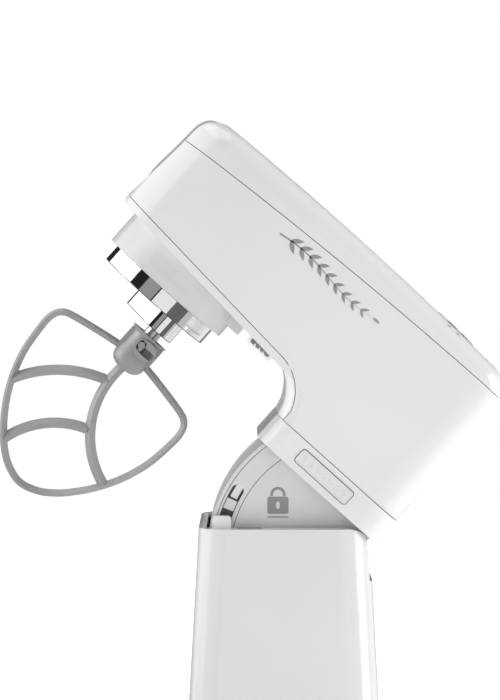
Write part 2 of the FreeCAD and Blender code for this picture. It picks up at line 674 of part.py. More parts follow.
# Middle lines of the three ribs through (out, up), as shares of the half width and the depth.
RIBS = (
    ((-0.003, -0.049), (0.108, -0.393), (0.727, -0.663)),
    ((0.000, -0.177), (-0.408, -0.287), (-0.818, -0.552)),
    ((0.174, -0.475), (-0.227, -0.622), (-0.447, -0.851)),
)


def beater_outline():
    """Half outline of the loop, from its shoulder to its foot, as (out, up) pairs."""
    half = value("beater_half")
    low = value("beater_low")
    shoulder = value("beater_shoulder")
    drop = shoulder - low
    return dict(
        hub=(value("beater_hub_r") - 2, 6),
        neck=(half * 0.82, shoulder + 16.2),
        round=(half * 0.937, shoulder + 11.7),
        shoulder=(half, shoulder),
        flank=(half * 0.885, shoulder - drop * 0.422),
        waist=(half * 0.688, shoulder - drop * 0.674),
        heel=(half * 0.417, shoulder - drop * 0.878),
        foot=(0, low),
    )


def beater_shape():
    """Flat beater: a leaf-shaped loop with ribs, cast in one piece with its hub."""
    marks = beater_outline()
    deep = value("beater_deep")
    bar = value("beater_bar")

    def at(name, side):
        across, upward = marks[name]
        return Vector(side * across, upward, 0)

    edges = []
    for side in (-1, 1):
        edges.append(Part.LineSegment(at("hub", side), at("neck", side)).toShape())
        edges.append(Part.Arc(at("neck", side), at("round", side), at("shoulder", side)).toShape())
        edges.append(Part.Arc(at("shoulder", side), at("flank", side), at("waist", side)).toShape())
        edges.append(Part.Arc(at("waist", side), at("heel", side), at("foot", side)).toShape())
    edges.append(Part.LineSegment(at("hub", -1), at("hub", 1)).toShape())
    outer = Part.Wire(Part.__sortEdges__(edges))
    inner = outer.makeOffset2D(-bar)
    loop = Part.Face(outer).cut(Part.Face(inner))
    half = value("beater_half")
    depth = -value("beater_low")
    rib_width = value("beater_rib")
    flat = loop
    for rib in RIBS:
        start, middle, end = [Vector(out * half, up * depth, 0) for out, up in rib]
        flat = flat.fuse(arc_band(start, middle, end, rib_width).common(Part.Face(outer)))
    solid = flat.extrude(Vector(0, 0, deep)).removeSplitter()
    solid.Placement = Placement(
        Vector(value(SPINDLE_X) - deep / 2, value(SPINDLE_Y), 0),
        Rotation(Vector(0, 1, 0), Vector(0, 0, 1), Vector(1, 0, 0)))
    return solid


beater_loop = feature("beater_loop", beater_shape())
beater_hub = fuse(
    "beater_hub", beater_loop,
    rod("hub_body", "z", (SPINDLE_X, SPINDLE_Y), ("-2", "hub_high - 1"), "beater_hub_r"),
    rod("hub_collar", "z", (SPINDLE_X, SPINDLE_Y), ("hub_high - 2", "hub_high"), "collar_r"),
    rod("hub_tip", "z", (SPINDLE_X, SPINDLE_Y), ("hub_bottom", "-2"),
        "beater_hub_r - 6", "Part::Cone", "beater_hub_r - 3.5"))
PIN_SLOT = "(cross_pin_r + fit_gap)"
flat_beater = cut(
    "flat_beater", beater_hub,
    rod("hub_bore", "z", (SPINDLE_X, SPINDLE_Y), ("spindle_low - beater_push - 1.5", "hub_high + 1"),
        "spindle_r + fit_gap"),
    block("pin_seat", ("%s - collar_r" % SPINDLE_X, "%s + collar_r" % SPINDLE_X),
          ("%s - %s" % (SPINDLE_Y, PIN_SLOT), "%s + %s" % (SPINDLE_Y, PIN_SLOT)),
          ("cross_pin_z - beater_push - %s" % PIN_SLOT, "cross_pin_z + %s" % PIN_SLOT)),
    block("pin_way_right", ("%s + 2" % SPINDLE_X, "%s + collar_r" % SPINDLE_X),
          (SPINDLE_Y, "%s + 12" % SPINDLE_Y),
          ("cross_pin_z - beater_push - %s" % PIN_SLOT, "cross_pin_z + 1")),
    block("pin_way_left", ("%s - collar_r" % SPINDLE_X, "%s - 2" % SPINDLE_X),
          ("%s - 12" % SPINDLE_Y, SPINDLE_Y),
          ("cross_pin_z - beater_push - %s" % PIN_SLOT, "cross_pin_z + 1")))

# ------------------------------------------------------------ layshaft and the belt
layshaft = fuse(
    "layshaft", lay_gear,
    rod("lay_rod", "z", ("0", LAY_Y), ("deck_low - 6", "belt_high + 2"), "lay_r"))
large_pulley = tube("large_pulley", "z", ("0", LAY_Y), ("belt_low", "belt_high"), "wheel_r", "lay_r")
motor_pulley = tube("motor_pulley", "z", ("0", "motor_y"), ("belt_low", "belt_high"),
                    "pulley_r", "motor_shaft_r")


def belt_shape():
    """Flat closed belt round the two pulleys."""
    wheel = value("wheel_r + belt_gap")
    small = value("pulley_r + belt_gap")
    thick = value("belt_thick")
    motor = Vector(0, value("motor_y"), 0)
    outside = loop_face(LAY, wheel + thick, motor, small + thick)
    inside = loop_face(LAY, wheel, motor, small)
    solid = outside.cut(inside).extrude(Vector(0, 0, value("belt_high - belt_low - 1")))
    solid.translate(Vector(0, 0, value("belt_low + 0.5")))
    return solid


drive_belt = feature("drive_belt", belt_shape())

# -------------------------------------------------------------------------- motor
MOTOR = ("0", "motor_y")
motor_can = tube("motor_can", "z", MOTOR, ("can_low", "can_high"), "can_r", "can_r - can_wall")
motor_end_caps = fuse(
    "motor_end_caps",
    tube("low_cap", "z", MOTOR, ("can_low - 4", "can_low"), "can_r", "motor_shaft_r + running_gap"),
    tube("high_cap", "z", MOTOR, ("can_high", "can_high + 6"), "can_r", "motor_shaft_r + running_gap"))
magnet_tube = tube("magnet_tube", "z", MOTOR, ("can_low + 6", "can_high - 14"),
                   "can_r - can_wall", "can_r - can_wall - magnet_thick")
motor_magnets = cut(
    "motor_magnets", magnet_tube,
    block("magnet_gap", ("-8", "8"), ("motor_y - can_r", "motor_y + can_r"), ("can_low", "can_high")))
rotor_core = tube("rotor_core", "z", MOTOR, ("can_low + 7", "can_high - 15"),
                  "can_r - can_wall - magnet_thick - rotor_gap", "motor_shaft_r")
commutator = tube("commutator", "z", MOTOR, ("can_high - 11", "can_high - 2"),
                  "commutator_r", "motor_shaft_r")
motor_shaft = rod("motor_shaft", "z", MOTOR, ("can_low - 8", "belt_high + 2"), "motor_shaft_r")
brush = block("brush", ("commutator_r + 0.2", "can_r - can_wall - 0.5"),
              ("motor_y - brush_w/2", "motor_y + brush_w/2"), ("can_high - 10", "can_high - 3"))
carbon_brushes = pair("carbon_brushes", brush)

# ---------------------------------------------------------- front port and its flap
port_ring = tube("port_ring", "y", ("0", "port_z"), ("port_front", "port_back"), "port_rim", "port_bore")
port_socket = cut(
    "port_socket",
    fuse("socket_blank",
         rod("socket_head", "y", ("0", "port_z"), ("port_back", "port_back + 14"), "socket_r"),
         rod("socket_shaft", "y", ("0", "port_z"), ("port_back + 13", "drive_y - bevel_reach + 1"),
             "socket_r - 2"),
         rod("socket_bevel", "y", ("0", "port_z"),
             ("drive_y - bevel_reach", "drive_y - bevel_reach + bevel_face"),
             "bevel_reach - bevel_gap", "Part::Cone", "bevel_reach - bevel_face - bevel_gap")),
    block("socket_hole", ("-socket_square/2", "socket_square/2"), ("port_back - 1", "port_back + 11"),
          ("port_z - socket_square/2", "port_z + socket_square/2")))
flap_outer = head_form("flap_outer", "-flap_gap - flap_thick")
flap_inner = head_form("flap_inner", "-flap_gap")
front_cover = fuse(
    "front_cover",
    common(
        "flap_plate", cut("flap_skin", flap_outer, flap_inner),
        block("flap_area", ("-flap_half", "flap_half"), ("nose_low_y - 10", "flap_rear"),
              ("flap_low", "crown_z + 5"))),
    rod("flap_barrel", "x", ("flap_pin_y", "flap_pin_z"), ("-flap_pin_end", "flap_pin_end"),
        "flap_pin_r"))

# --------------------------------------------------------------- dial and controls
dial_bezel = cut("dial_bezel", dial_rod("bezel_disc", "-1.2", "0.4", "bezel_r"),
                 dial_rod("bezel_hole", "-5", "5", "stem_r + gap"))
speed_dial = fuse("speed_dial", dial_rod("dial_disc", "0.7", "1.9", "dial_r"),
                  dial_rod("dial_stem", "-8", "1", "stem_r"))
speed_switch = cut(
    "speed_switch",
    block("switch_body", ("-13", "13"), ("dial_y - 13", "dial_y + 13"), ("dial_z - 25", "dial_z - 6")),
    dial_rod("switch_eye", "-10", "0", "stem_r + fit_gap"))
control_board = block("control_board", ("-38", "38"), ("crown_y - 60", "crown_y + 50"),
                      ("belt_high + 8", "belt_high + 9.6"))

# --------------------------------------------------------------- head case screws
SCREW_SPOTS = [("deck_half - 8", "drive_y + 70"), ("deck_half - 8", "neck_front - 14")]
head_screws = pair("head_screws", fuse("screw_row", *[
    rod("head_screw_%d" % number, "z", spot, ("throat_z + shell_wall + 4", "deck_low"), "screw_r")
    for number, spot in enumerate(SCREW_SPOTS)]))

# ---------------------------------------------------------------- column and foot
COLUMN_LOW = "foot_low"


def column_form(tag, inset, top):
    """Solid form of the column, lofted from the foot to its shoulders."""
    body = doc.addObject("PartDesign::Body", tag + "_loft")
    sections = []
    for level, spread, height in (("low", "1", COLUMN_LOW), ("high", "0", "column_top + 5")):
        path = plan_box(
            "column_half + column_flare*%s - (%s)" % (spread, inset),
            "column_front - column_lean*%s + (%s)" % (spread, inset),
            "column_rear + column_flare*%s - (%s)" % (spread, inset),
            "(column_corner - (%s))" % inset, "(column_back_corner - (%s))" % inset)
        sections.append(sketch_outline(body, "%s_%s" % (tag, level), "XY_Plane", height, path))
    loft = body.newObject("PartDesign::AdditiveLoft", tag + "_walls")
    loft.Profile = sections[0]
    loft.Sections = [sections[1]]
    loft.Ruled = True
    profile = side_pad(tag + "_profile", [
        ("column_front - column_lean - 20", "foot_low"),
        ("column_front - column_lean - 20", top),
        ("0", top),
        ("(%s)*sin(60)" % top, "(%s)*cos(60)" % top, "(%s)*sin(30)" % top, "(%s)*cos(30)" % top),
        ("column_rear + column_flare + 20", "(%s)*cos(60) - 10" % top),
        ("column_rear + column_flare + 20", "foot_low"),
    ], "column_half + column_flare + 10")
    return common(tag, body, profile)


def foot_outline(inset):
    """Plan of the foot: a half-round front whose tangents close in to the rear."""
    radius = "(foot_half - (%s))" % inset
    corner = "(foot_corner - (%s))" % inset
    rear = "(foot_rear - (%s))" % inset
    round_y = "(foot_front + foot_half)"
    wide = ("%s*cos(foot_taper)" % radius, "%s + %s*sin(foot_taper)" % (round_y, radius))
    corner_x = "((%s - %s - (%s - %s - %s)*sin(foot_taper))/cos(foot_taper))" % (
        radius, corner, rear, corner, round_y)

    def on_corner(angle):
        return ("(%s + %s*cos(%s))" % (corner_x, corner, angle),
                "(%s - %s + %s*sin(%s))" % (rear, corner, corner, angle))

    side = on_corner("foot_taper")
    bend = on_corner("(45 + foot_taper/2)")
    return [
        wide + ("0", "foot_front + (%s)" % inset),
        side,
        (corner_x, rear) + bend,
        ("-%s" % corner_x, rear),
        ("-%s" % side[0], side[1], "-%s" % bend[0], bend[1]),
        ("-%s" % wide[0], wide[1]),
    ]


foot_outer = round_edges(
    "foot_outer", pad("foot_slab", "XY_Plane", foot_outline("0"), "foot_low", "foot_high"),
    ("foot_round", lambda edge: edge.BoundBox.ZMin > value("foot_high") - 0.1))
foot_inner = pad("foot_inner", "XY_Plane", foot_outline("base_wall"),
                 "foot_low - 1", "foot_high - base_wall - 4")
column_outer = column_form("column_outer", "0", "column_top")
column_inner = column_form("column_inner", "base_wall", "(column_top - base_wall)")
foot_top = value("foot_high")


def on_foot_top(edge):
    """Tell whether an edge runs where the column stands on the foot."""
    box = edge.BoundBox
    inside = box.YMin > value("column_front - column_lean - 5") and box.XLength < 130
    return abs(box.ZMin - foot_top) < 0.05 and box.ZLength < 0.05 and inside


base_form = round_edges(
    "base_form", fuse("base_blank", foot_outer, column_outer), ("blend_round", on_foot_top))
SEAT_LOW = "seat_high - seat_depth - seat_floor"
seat_screw_spots = [
    ("(seat_r + 7)*cos(%d)" % angle, "drive_y + (seat_r + 7)*sin(%d)" % angle)
    for angle in (30, 150, 270)]
seat_shelf = cut(
    "seat_shelf",
    rod("shelf_disc", "z", ("0", "drive_y"), ("%s - 3" % SEAT_LOW, SEAT_LOW), "seat_rim + 6"),
    *[rod("shelf_hole_%d" % number, "z", spot, ("foot_low", "seat_high"), "screw_r")
      for number, spot in enumerate(seat_screw_spots)])
seat_hole = rod("seat_hole", "z", ("0", "drive_y"), ("foot_low", "seat_high"), "seat_rim")
screw_posts = []
POST_SPOTS = [("foot_half - 22", "drive_y + 12"), ("column_half - 4", "foot_rear - 24")]
for number, spot in enumerate(POST_SPOTS):
    screw_posts.append(tube("post_%d" % number, "z", spot,
                            ("foot_low + cover_thick", "foot_high - base_wall - 3"),
                            "screw_r + 3.5", "screw_r"))
post_pair = pair("post_pair", fuse("post_row", *screw_posts))
base_shell = cut(
    "base_shell", base_form, foot_inner, column_inner, seat_hole,
    block("roof_way", ("-roof_half", "roof_half"), ("column_front + base_wall", "column_rear + 30"),
          ("column_top - base_wall - 1", "column_top + 5")),
    block("rear_way", ("-roof_half", "roof_half"), ("rear_way", "column_rear + 30"),
          ("-hub_r - 2", "column_top + 5")))
hinge_bosses = pair("hinge_bosses", common(
    "hinge_boss",
    fuse("boss_blank",
         rod("boss_eye", "x", ("0", "0"), ("quadrant_half + boss_gap", "column_half + 5"),
             "pin_r + boss_wall"),
         block("boss_rib", ("quadrant_half + boss_gap", "column_half + 5"), ("-3", "3"),
               ("-40", "0"))),
    column_outer))
base_housing = cut(
    "base_housing", fuse("base_solid", base_shell, post_pair, seat_shelf, hinge_bosses),
    rod("pin_seat_bore", "x", ("0", "0"),
        ("-column_half + base_wall + 2", "column_half - base_wall - 2"), "pin_r"),
    rod("button_hole", "x", spoke("track_r", "bolt_angle"), ("-column_half - 30", "-quadrant_half - 6"),
        "button_r + fit_gap"),
    rod("gland_hole", "y", ("0", "gland_z"), ("column_rear", "foot_rear"), "gland_r - 2"))

base_bottom_cover = cut(
    "base_bottom_cover",
    pad("cover_blank", "XY_Plane", foot_outline("base_wall + fit_gap"),
        "foot_low", "foot_low + cover_thick"),
    *[rod("cover_hole_%d_%s" % (number, tag), "z", ("%s(%s)" % (tag, spot[0]), spot[1]),
          ("foot_low - 1", "foot_low + 10"), "screw_r")
      for number, spot in enumerate(POST_SPOTS) for tag in ("+", "-")])
bottom_screws = pair("bottom_screws", fuse("bottom_row", *[
    fuse("bottom_screw_%d" % number,
         rod("bottom_shank_%d" % number, "z", spot, ("foot_low - 1.5", "foot_low + 14"), "screw_r"),
         rod("bottom_head_%d" % number, "z", spot, ("foot_low - 2", "foot_low"), "screw_head_r"))
    for number, spot in enumerate(POST_SPOTS)]))
FOOT_SPOTS = [("foot_half - 34", "drive_y - 24"), ("column_half - 6", "foot_rear - 50")]
rubber_feet = fuse(
    "rubber_feet",
    pair("side_feet", fuse("foot_row", *[
        rod("rubber_foot_%d" % number, "z", spot, ("foot_low - rubber_high", "foot_low"), "rubber_r")
        for number, spot in enumerate(FOOT_SPOTS)])),
    rod("rubber_foot_front", "z", ("0", "foot_front + 20"), ("foot_low - rubber_high", "foot_low"),
        "rubber_r"))

# ---------------------------------------------------------------- seat for the bowl
LUG_ANGLES = (90, 210, 330)


def lug_notch(angle):
    """Notch in the rim of the seat, where one lug of the bowl drops in."""
    notch = doc.addObject("Part::Box", "notch_%d" % angle)
    notch.Placement = Placement(Vector(), Rotation(Vector(0, 0, 1), angle))
    for prop, text in (
            ("Length", "lug_deep"), ("Width", "lug_wide"), ("Height", "seat_depth + 1"),
            ("Placement.Base.x",
             "(seat_r - lug_lap)*cos({0}) + lug_wide/2*sin({0})".format(angle)),
            ("Placement.Base.y",
             "drive_y + (seat_r - lug_lap)*sin({0}) - lug_wide/2*cos({0})".format(angle)),
            ("Placement.Base.z", "seat_high - seat_depth")):
        bind(notch, prop, text)
    return notch


bowl_plate = cut(
    "bowl_plate",
    rod("plate_disc", "z", ("0", "drive_y"), (SEAT_LOW, "seat_high"),
        "seat_rim - fit_gap"),
    rod("plate_bore", "z", ("0", "drive_y"), ("seat_high - seat_depth", "seat_high + 1"), "seat_r"),
    *[lug_notch(angle) for angle in LUG_ANGLES],
    *[rod("plate_hole_%d" % number, "z", spot, ("foot_low", "seat_high + 1"), "screw_r")
      for number, spot in enumerate(seat_screw_spots)],
    *[rod("plate_sink_%d" % number, "z", spot, ("seat_high - 2.2", "seat_high + 1"), "screw_head_r")
      for number, spot in enumerate(seat_screw_spots)])
bowl_plate_screws = fuse("bowl_plate_screws", *[
    fuse("plate_screw_%d" % number,
         rod("plate_shank_%d" % number, "z", spot, ("seat_high - 14", "seat_high - 1"), "screw_r"),
         rod("plate_head_%d" % number, "z", spot, ("seat_high - 2.2", "seat_high - 0.3"),
             "screw_head_r"))
    for number, spot in enumerate(seat_screw_spots)])

# -------------------------------------------------------------- hinge in the column
hinge_pin = rod("hinge_pin", "x", ("0", "0"),
                ("-column_half + base_wall + 2", "column_half - base_wall - 2"), "pin_r")
pin_clips = pair("pin_clips", tube(
    "pin_clip", "x", ("0", "0"), ("quadrant_half + 0.6", "quadrant_half + boss_gap - 0.4"),
    "pin_r + 3", "pin_r"))

# --------------------------------------------------- stop blocks, pads and the lock
stop_blocks = pair("stop_blocks", round_edges(
    "stop_block", block("stop_blank", ("block_in", "block_out"), ("block_front", "block_rear"),
                        ("column_top", "block_high")),
    ("2.5", lambda edge: edge.BoundBox.XLength > 5 and edge.BoundBox.ZMin > value("block_high") - 1)))
rest_pads = pair("rest_pads", block(
    "rest_pad", ("block_in + 0.5", "block_out - 0.5"), ("pad_front", "pad_rear"),
    ("column_top", "column_top + 0.4")))
LOCK_AT = spoke("track_r", "bolt_angle")
release_button = fuse(
    "release_button",
    rod("button_cap", "x", LOCK_AT,
        ("-column_half - 2 - button_proud", "-column_half + 4"), "button_r"),
    rod("button_flange", "x", LOCK_AT,
        ("-column_half + 4", "-column_half + 5.5"), "button_r + 2"))
lock_bolt = rod("lock_bolt", "x", LOCK_AT,
                ("-column_half + 5.5", "-quadrant_half + quadrant_wall - fit_gap"), "bolt_r")
lock_spring = tube("lock_spring", "x", LOCK_AT,
                   ("-column_half + 6", "-quadrant_half - boss_gap - 2.2"),
                   "bolt_r + 1.8", "bolt_r + 0.6")
GUIDE_SPAN = ("-quadrant_half - boss_gap - 2", "-quadrant_half - 1.5")
lock_guide = cut(
    "lock_guide",
    fuse("guide_blank",
         rod("guide_eye", "x", LOCK_AT, GUIDE_SPAN, "bolt_r + 5.5"),
         block("guide_post", GUIDE_SPAN,
               ("-track_r*cos(bolt_angle) - 8", "-track_r*cos(bolt_angle) + 8"),
               ("foot_low + cover_thick", "-track_r*sin(bolt_angle)"))),
    rod("guide_bore", "x", LOCK_AT, ("-head_half", "0"), "bolt_r + running_gap"))

# ------------------------------------------------------------------- mains parts
cord_gland = tube("cord_gland", "y", ("0", "gland_z"),
                  ("column_rear + 3", "column_rear + column_flare + 12"), "gland_r - 2", "gland_bore")
mains_terminal = block("mains_terminal", ("-18", "18"), ("-40", "-24"),
                       ("foot_low + cover_thick", "foot_low + cover_thick + 16"))

# ------------------------------------------------------- places, checks and files
BASE_PIECES = [
    base_housing, base_bottom_cover, bottom_screws, rubber_feet, bowl_plate, bowl_plate_screws,
    hinge_pin, pin_clips, stop_blocks, rest_pads, release_button,
    lock_bolt, lock_spring, lock_guide, cord_gland, mains_terminal,
]
HEAD_PIECES = [
    head_top_cover, head_lower_shell, underside_cover, neck_band, neck_lip, badge_plates,
    quadrant_sides, quadrant_front, catch_plates, head_chassis, main_bearings, shaft_bushes,
    hub_skirt, ring_gear, lamp_lens, lamp_board, head_screws, planet_carrier, carrier_shaft,
    main_gear, bevel_gear, beater_spindle, bayonet_pin, planet_pinion, flat_beater, layshaft,
    large_pulley, motor_pulley, drive_belt, motor_can, motor_end_caps, motor_magnets, rotor_core,
    commutator, motor_shaft, carbon_brushes, port_ring, port_socket, front_cover, dial_bezel,
    speed_dial, speed_switch, control_board,
]
doc.recompute()
faulty = [item.Name for item in doc.Objects if {"Invalid", "Error"} & set(item.State)]
if faulty:
    raise SystemExit("objects that failed: %s" % ", ".join(faulty))
shut = Placement(Vector(0, value("hinge_back"), value("hinge_height")), Rotation())
opened = shut * Placement(Vector(), Rotation(Vector(1, 0, 0), -value("head_open")))
for pieces, move in ((BASE_PIECES, shut), (HEAD_PIECES, opened)):
    for piece in pieces:
        piece.Label = piece.Name
        piece.Placement = move * piece.Placement
for piece in BASE_PIECES + HEAD_PIECES:
    shape = piece.Shape
    if shape.isNull() or not shape.isValid() or shape.Volume <= 0:
        raise SystemExit("%s has no sound solid" % piece.Label)
for piece in BASE_PIECES + HEAD_PIECES:
    piece.Shape.exportStep("parts/%s.step" % piece.Label)
print("%d pieces written" % len(BASE_PIECES + HEAD_PIECES))
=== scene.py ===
import json
import math

import bmesh
import bpy
from mathutils import Matrix, Vector
from mathutils.bvhtree import BVHTree


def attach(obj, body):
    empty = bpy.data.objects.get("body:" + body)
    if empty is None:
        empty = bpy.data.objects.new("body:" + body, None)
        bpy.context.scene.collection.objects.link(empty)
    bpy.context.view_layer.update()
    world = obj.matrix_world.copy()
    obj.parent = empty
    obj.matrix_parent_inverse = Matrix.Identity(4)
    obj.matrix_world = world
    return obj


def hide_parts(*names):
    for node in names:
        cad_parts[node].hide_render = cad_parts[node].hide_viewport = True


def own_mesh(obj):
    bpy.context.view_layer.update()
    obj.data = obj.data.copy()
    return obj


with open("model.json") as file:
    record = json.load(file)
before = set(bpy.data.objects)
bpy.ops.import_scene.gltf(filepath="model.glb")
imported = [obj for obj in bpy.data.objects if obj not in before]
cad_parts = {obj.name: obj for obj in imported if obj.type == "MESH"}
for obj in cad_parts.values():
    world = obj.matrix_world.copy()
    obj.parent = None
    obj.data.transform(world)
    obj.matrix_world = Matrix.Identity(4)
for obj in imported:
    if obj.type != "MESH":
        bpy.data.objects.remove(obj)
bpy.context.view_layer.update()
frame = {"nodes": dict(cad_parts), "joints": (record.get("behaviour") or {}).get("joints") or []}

# ------------------------------------------------------------------ camera
# A long lens at the height of the open head looks straight at the right-hand
# side, so the side faces stay nearly square to the eye.
VIEW_HEIGHT = 0.504
CAMERA_AWAY = 1.55
CAMERA_RISE = 2.0
AIM = Vector((0.035, 0.0288, 0.3234))

lens = bpy.data.cameras.new("camera")
lens.sensor_width = 36
lens.lens = lens.sensor_width * CAMERA_AWAY / VIEW_HEIGHT
camera = bpy.data.objects.new("camera", lens)
bpy.context.scene.collection.objects.link(camera)
tilt = math.radians(CAMERA_RISE)
camera.location = AIM + CAMERA_AWAY * Vector((math.cos(tilt), 0, math.sin(tilt)))
camera.rotation_euler = (AIM - camera.location).to_track_quat("-Z", "Y").to_euler()
bpy.context.scene.camera = camera
bpy.context.scene.view_settings.view_transform = "Standard"

# ------------------------------------------------------------------ studio
# A white sweep under and behind the machine, wide soft lamps at its front,
# back and top, and dark strips that only polished metal picks up.
FLOOR_SIDE = 4.0
FLOOR_WHITE = (0.94, 0.94, 0.94, 1)
ROOM_LIGHT = 0.5
FLOOR_GLOW = 0.5
HEAD_TILT = math.radians(42)
STRIP_REACH = 0.72
STRIP_FADE = 0.12
# angle round the open head's axis in degrees, and brightness there
STRIPS = [(-180, 0.02), (-134, 1.3), (-56, 0.015), (-33, 0.30), (-6, 0.01), (0, 0.85),
          (33, 0.13), (62, 0.55), (120, 0.9), (150, 0.25)]


def add_floor():
    """Lay the white sweep under the machine."""
    mesh = bpy.data.meshes.new("floor")
    half = FLOOR_SIDE / 2
    mesh.from_pydata([(-half, -half, 0), (half, -half, 0), (half, half, 0), (-half, half, 0)],
                     [], [(0, 1, 2, 3)])
    floor = bpy.data.objects.new("floor", mesh)
    bpy.context.scene.collection.objects.link(floor)
    material = bpy.data.materials.new("white_sweep")
    material.use_nodes = True
    shader = material.node_tree.nodes["Principled BSDF"]
    shader.inputs["Base Color"].default_value = FLOOR_WHITE
    shader.inputs["Roughness"].default_value = 0.9
    shader.inputs["Emission Color"].default_value = (1, 1, 1, 1)
    shader.inputs["Emission Strength"].default_value = FLOOR_GLOW
    mesh.materials.append(material)
    floor.visible_glossy = False


def soft_lamp(name, place, target, size, power):
    """Hang a wide lamp, turned to its target."""
    light = bpy.data.lights.new(name, "AREA")
    light.shape = "RECTANGLE"
    light.size, light.size_y = size
    light.energy = power
    lamp = bpy.data.objects.new(name, light)
    bpy.context.scene.collection.objects.link(lamp)
    lamp.location = place
    lamp.rotation_euler = (Vector(target) - Vector(place)).to_track_quat("-Z", "Y").to_euler()
    lamp.visible_camera = False


def room():
    """Light the room evenly, and show the strips to glossy rays only."""
    world = bpy.data.worlds.new("studio")
    bpy.context.scene.world = world
    world.use_nodes = True
    nodes, links = world.node_tree.nodes, world.node_tree.links
    nodes.clear()
    place = nodes.new("ShaderNodeTexCoord")
    turn = nodes.new("ShaderNodeMapping")
    turn.inputs["Rotation"].default_value = (HEAD_TILT, 0, 0)
    parts = nodes.new("ShaderNodeSeparateXYZ")
    angle = nodes.new("ShaderNodeMath")
    angle.operation = "ARCTAN2"
    share = nodes.new("ShaderNodeMapRange")
    share.inputs["From Min"].default_value = -math.pi
    share.inputs["From Max"].default_value = math.pi
    ramp = nodes.new("ShaderNodeValToRGB")
    stops = ramp.color_ramp
    stops.interpolation = "CONSTANT"
    while len(stops.elements) < len(STRIPS):
        stops.elements.new(0.5)
    for stop, (degrees, level) in zip(stops.elements, STRIPS):
        stop.position = (degrees + 180) / 360
    for stop, (degrees, level) in zip(stops.elements, STRIPS):
        stop.color = (level, level, level, 1)
    links.new(place.outputs["Generated"], turn.inputs["Vector"])
    links.new(turn.outputs["Vector"], parts.inputs["Vector"])
    links.new(parts.outputs["Y"], angle.inputs[0])
    links.new(parts.outputs["X"], angle.inputs[1])
    links.new(angle.outputs["Value"], share.inputs["Value"])
    links.new(share.outputs["Result"], ramp.inputs["Fac"])
    ray = nodes.new("ShaderNodeLightPath")
    plain = nodes.new("ShaderNodeBackground")
    plain.inputs["Strength"].default_value = ROOM_LIGHT
    plain.inputs["Color"].default_value = (1, 1, 1, 1)
    white = nodes.new("ShaderNodeBackground")
    white.inputs["Color"].default_value = (1, 1, 1, 1)
    strips = nodes.new("ShaderNodeBackground")
    links.new(ramp.outputs["Color"], strips.inputs["Color"])
    steep = nodes.new("ShaderNodeMath")
    steep.operation = "ABSOLUTE"
    open_room = nodes.new("ShaderNodeMath")
    open_room.operation = "LESS_THAN"
    open_room.inputs[1].default_value = STRIP_REACH
    level = nodes.new("ShaderNodeMapRange")
    level.inputs["To Min"].default_value = STRIP_FADE
    links.new(parts.outputs["Z"], steep.inputs[0])
    links.new(steep.outputs["Value"], open_room.inputs[0])
    links.new(open_room.outputs["Value"], level.inputs["Value"])
    links.new(level.outputs["Result"], strips.inputs["Strength"])
    seen = nodes.new("ShaderNodeMixShader")
    shiny = nodes.new("ShaderNodeMixShader")
    out = nodes.new("ShaderNodeOutputWorld")
    links.new(ray.outputs["Is Camera Ray"], seen.inputs["Fac"])
    links.new(plain.outputs["Background"], seen.inputs[1])
    links.new(white.outputs["Background"], seen.inputs[2])
    links.new(ray.outputs["Is Glossy Ray"], shiny.inputs["Fac"])
    links.new(seen.outputs["Shader"], shiny.inputs[1])
    links.new(strips.outputs["Background"], shiny.inputs[2])
    links.new(shiny.outputs["Shader"], out.inputs["Surface"])


add_floor()
room()
soft_lamp("front_box", (0.2, -1.7, 0.95), (0, 0, 0.4), (1.0, 1.3), 14)
soft_lamp("rear_box", (0.2, 1.9, 0.5), (0, 0.1, 0.3), (1.0, 1.4), 18)
soft_lamp("top_box", (0.0, 0.0, 2.1), (0, 0, 0.3), (1.4, 1.4), 10)

# ----------------------------------------------------------- white casings
# Head shells, column and foot: injection-moulded ABS with a high gloss. The
# lacquer is nearly clean, with a faint ripple and a slow change of tint.
LACQUER_LIGHT = (0.81, 0.81, 0.807)
LACQUER_DARK = (0.795, 0.795, 0.793)
LACQUER_SHINE = (0.13, 0.19)
LACQUER_GRAIN = 420
LACQUER_RIPPLE = 0.00002
MOTTLE = 14


def surface(name, light, dark, shine, grain, relief, stretch=(1, 1, 1), **shader):
    """A finish: slow mottling between two tints, fine grain in its shine and relief."""
    material = bpy.data.materials.new(name)
    material.use_nodes = True
    nodes, links = material.node_tree.nodes, material.node_tree.links
    body = nodes["Principled BSDF"]
    for socket, number in shader.items():
        body.inputs[socket.replace("_", " ")].default_value = number
    place = nodes.new("ShaderNodeTexCoord")
    mapping = nodes.new("ShaderNodeMapping")
    mapping.inputs["Scale"].default_value = stretch
    slow = nodes.new("ShaderNodeTexNoise")
    slow.inputs["Scale"].default_value = MOTTLE
    slow.inputs["Detail"].default_value = 3
    fine = nodes.new("ShaderNodeTexNoise")
    fine.inputs["Scale"].default_value = grain
    fine.inputs["Detail"].default_value = 4
    tint = nodes.new("ShaderNodeValToRGB")
    tint.color_ramp.elements[0].position = 0.35
    tint.color_ramp.elements[0].color = (*dark, 1)
    tint.color_ramp.elements[1].position = 0.65
    tint.color_ramp.elements[1].color = (*light, 1)
    gloss = nodes.new("ShaderNodeMapRange")
    gloss.inputs["To Min"].default_value = shine[0]
    gloss.inputs["To Max"].default_value = shine[1]
    bump = nodes.new("ShaderNodeBump")
    bump.inputs["Distance"].default_value = relief
    links.new(place.outputs["Object"], mapping.inputs["Vector"])
    links.new(mapping.outputs["Vector"], fine.inputs["Vector"])
    links.new(place.outputs["Object"], slow.inputs["Vector"])
    links.new(slow.outputs["Fac"], tint.inputs["Fac"])
    links.new(tint.outputs["Color"], body.inputs["Base Color"])
    links.new(fine.outputs["Fac"], gloss.inputs["Value"])
    links.new(gloss.outputs["Result"], body.inputs["Roughness"])
    links.new(fine.outputs["Fac"], bump.inputs["Height"])
    links.new(bump.outputs["Normal"], body.inputs["Normal"])
    return material


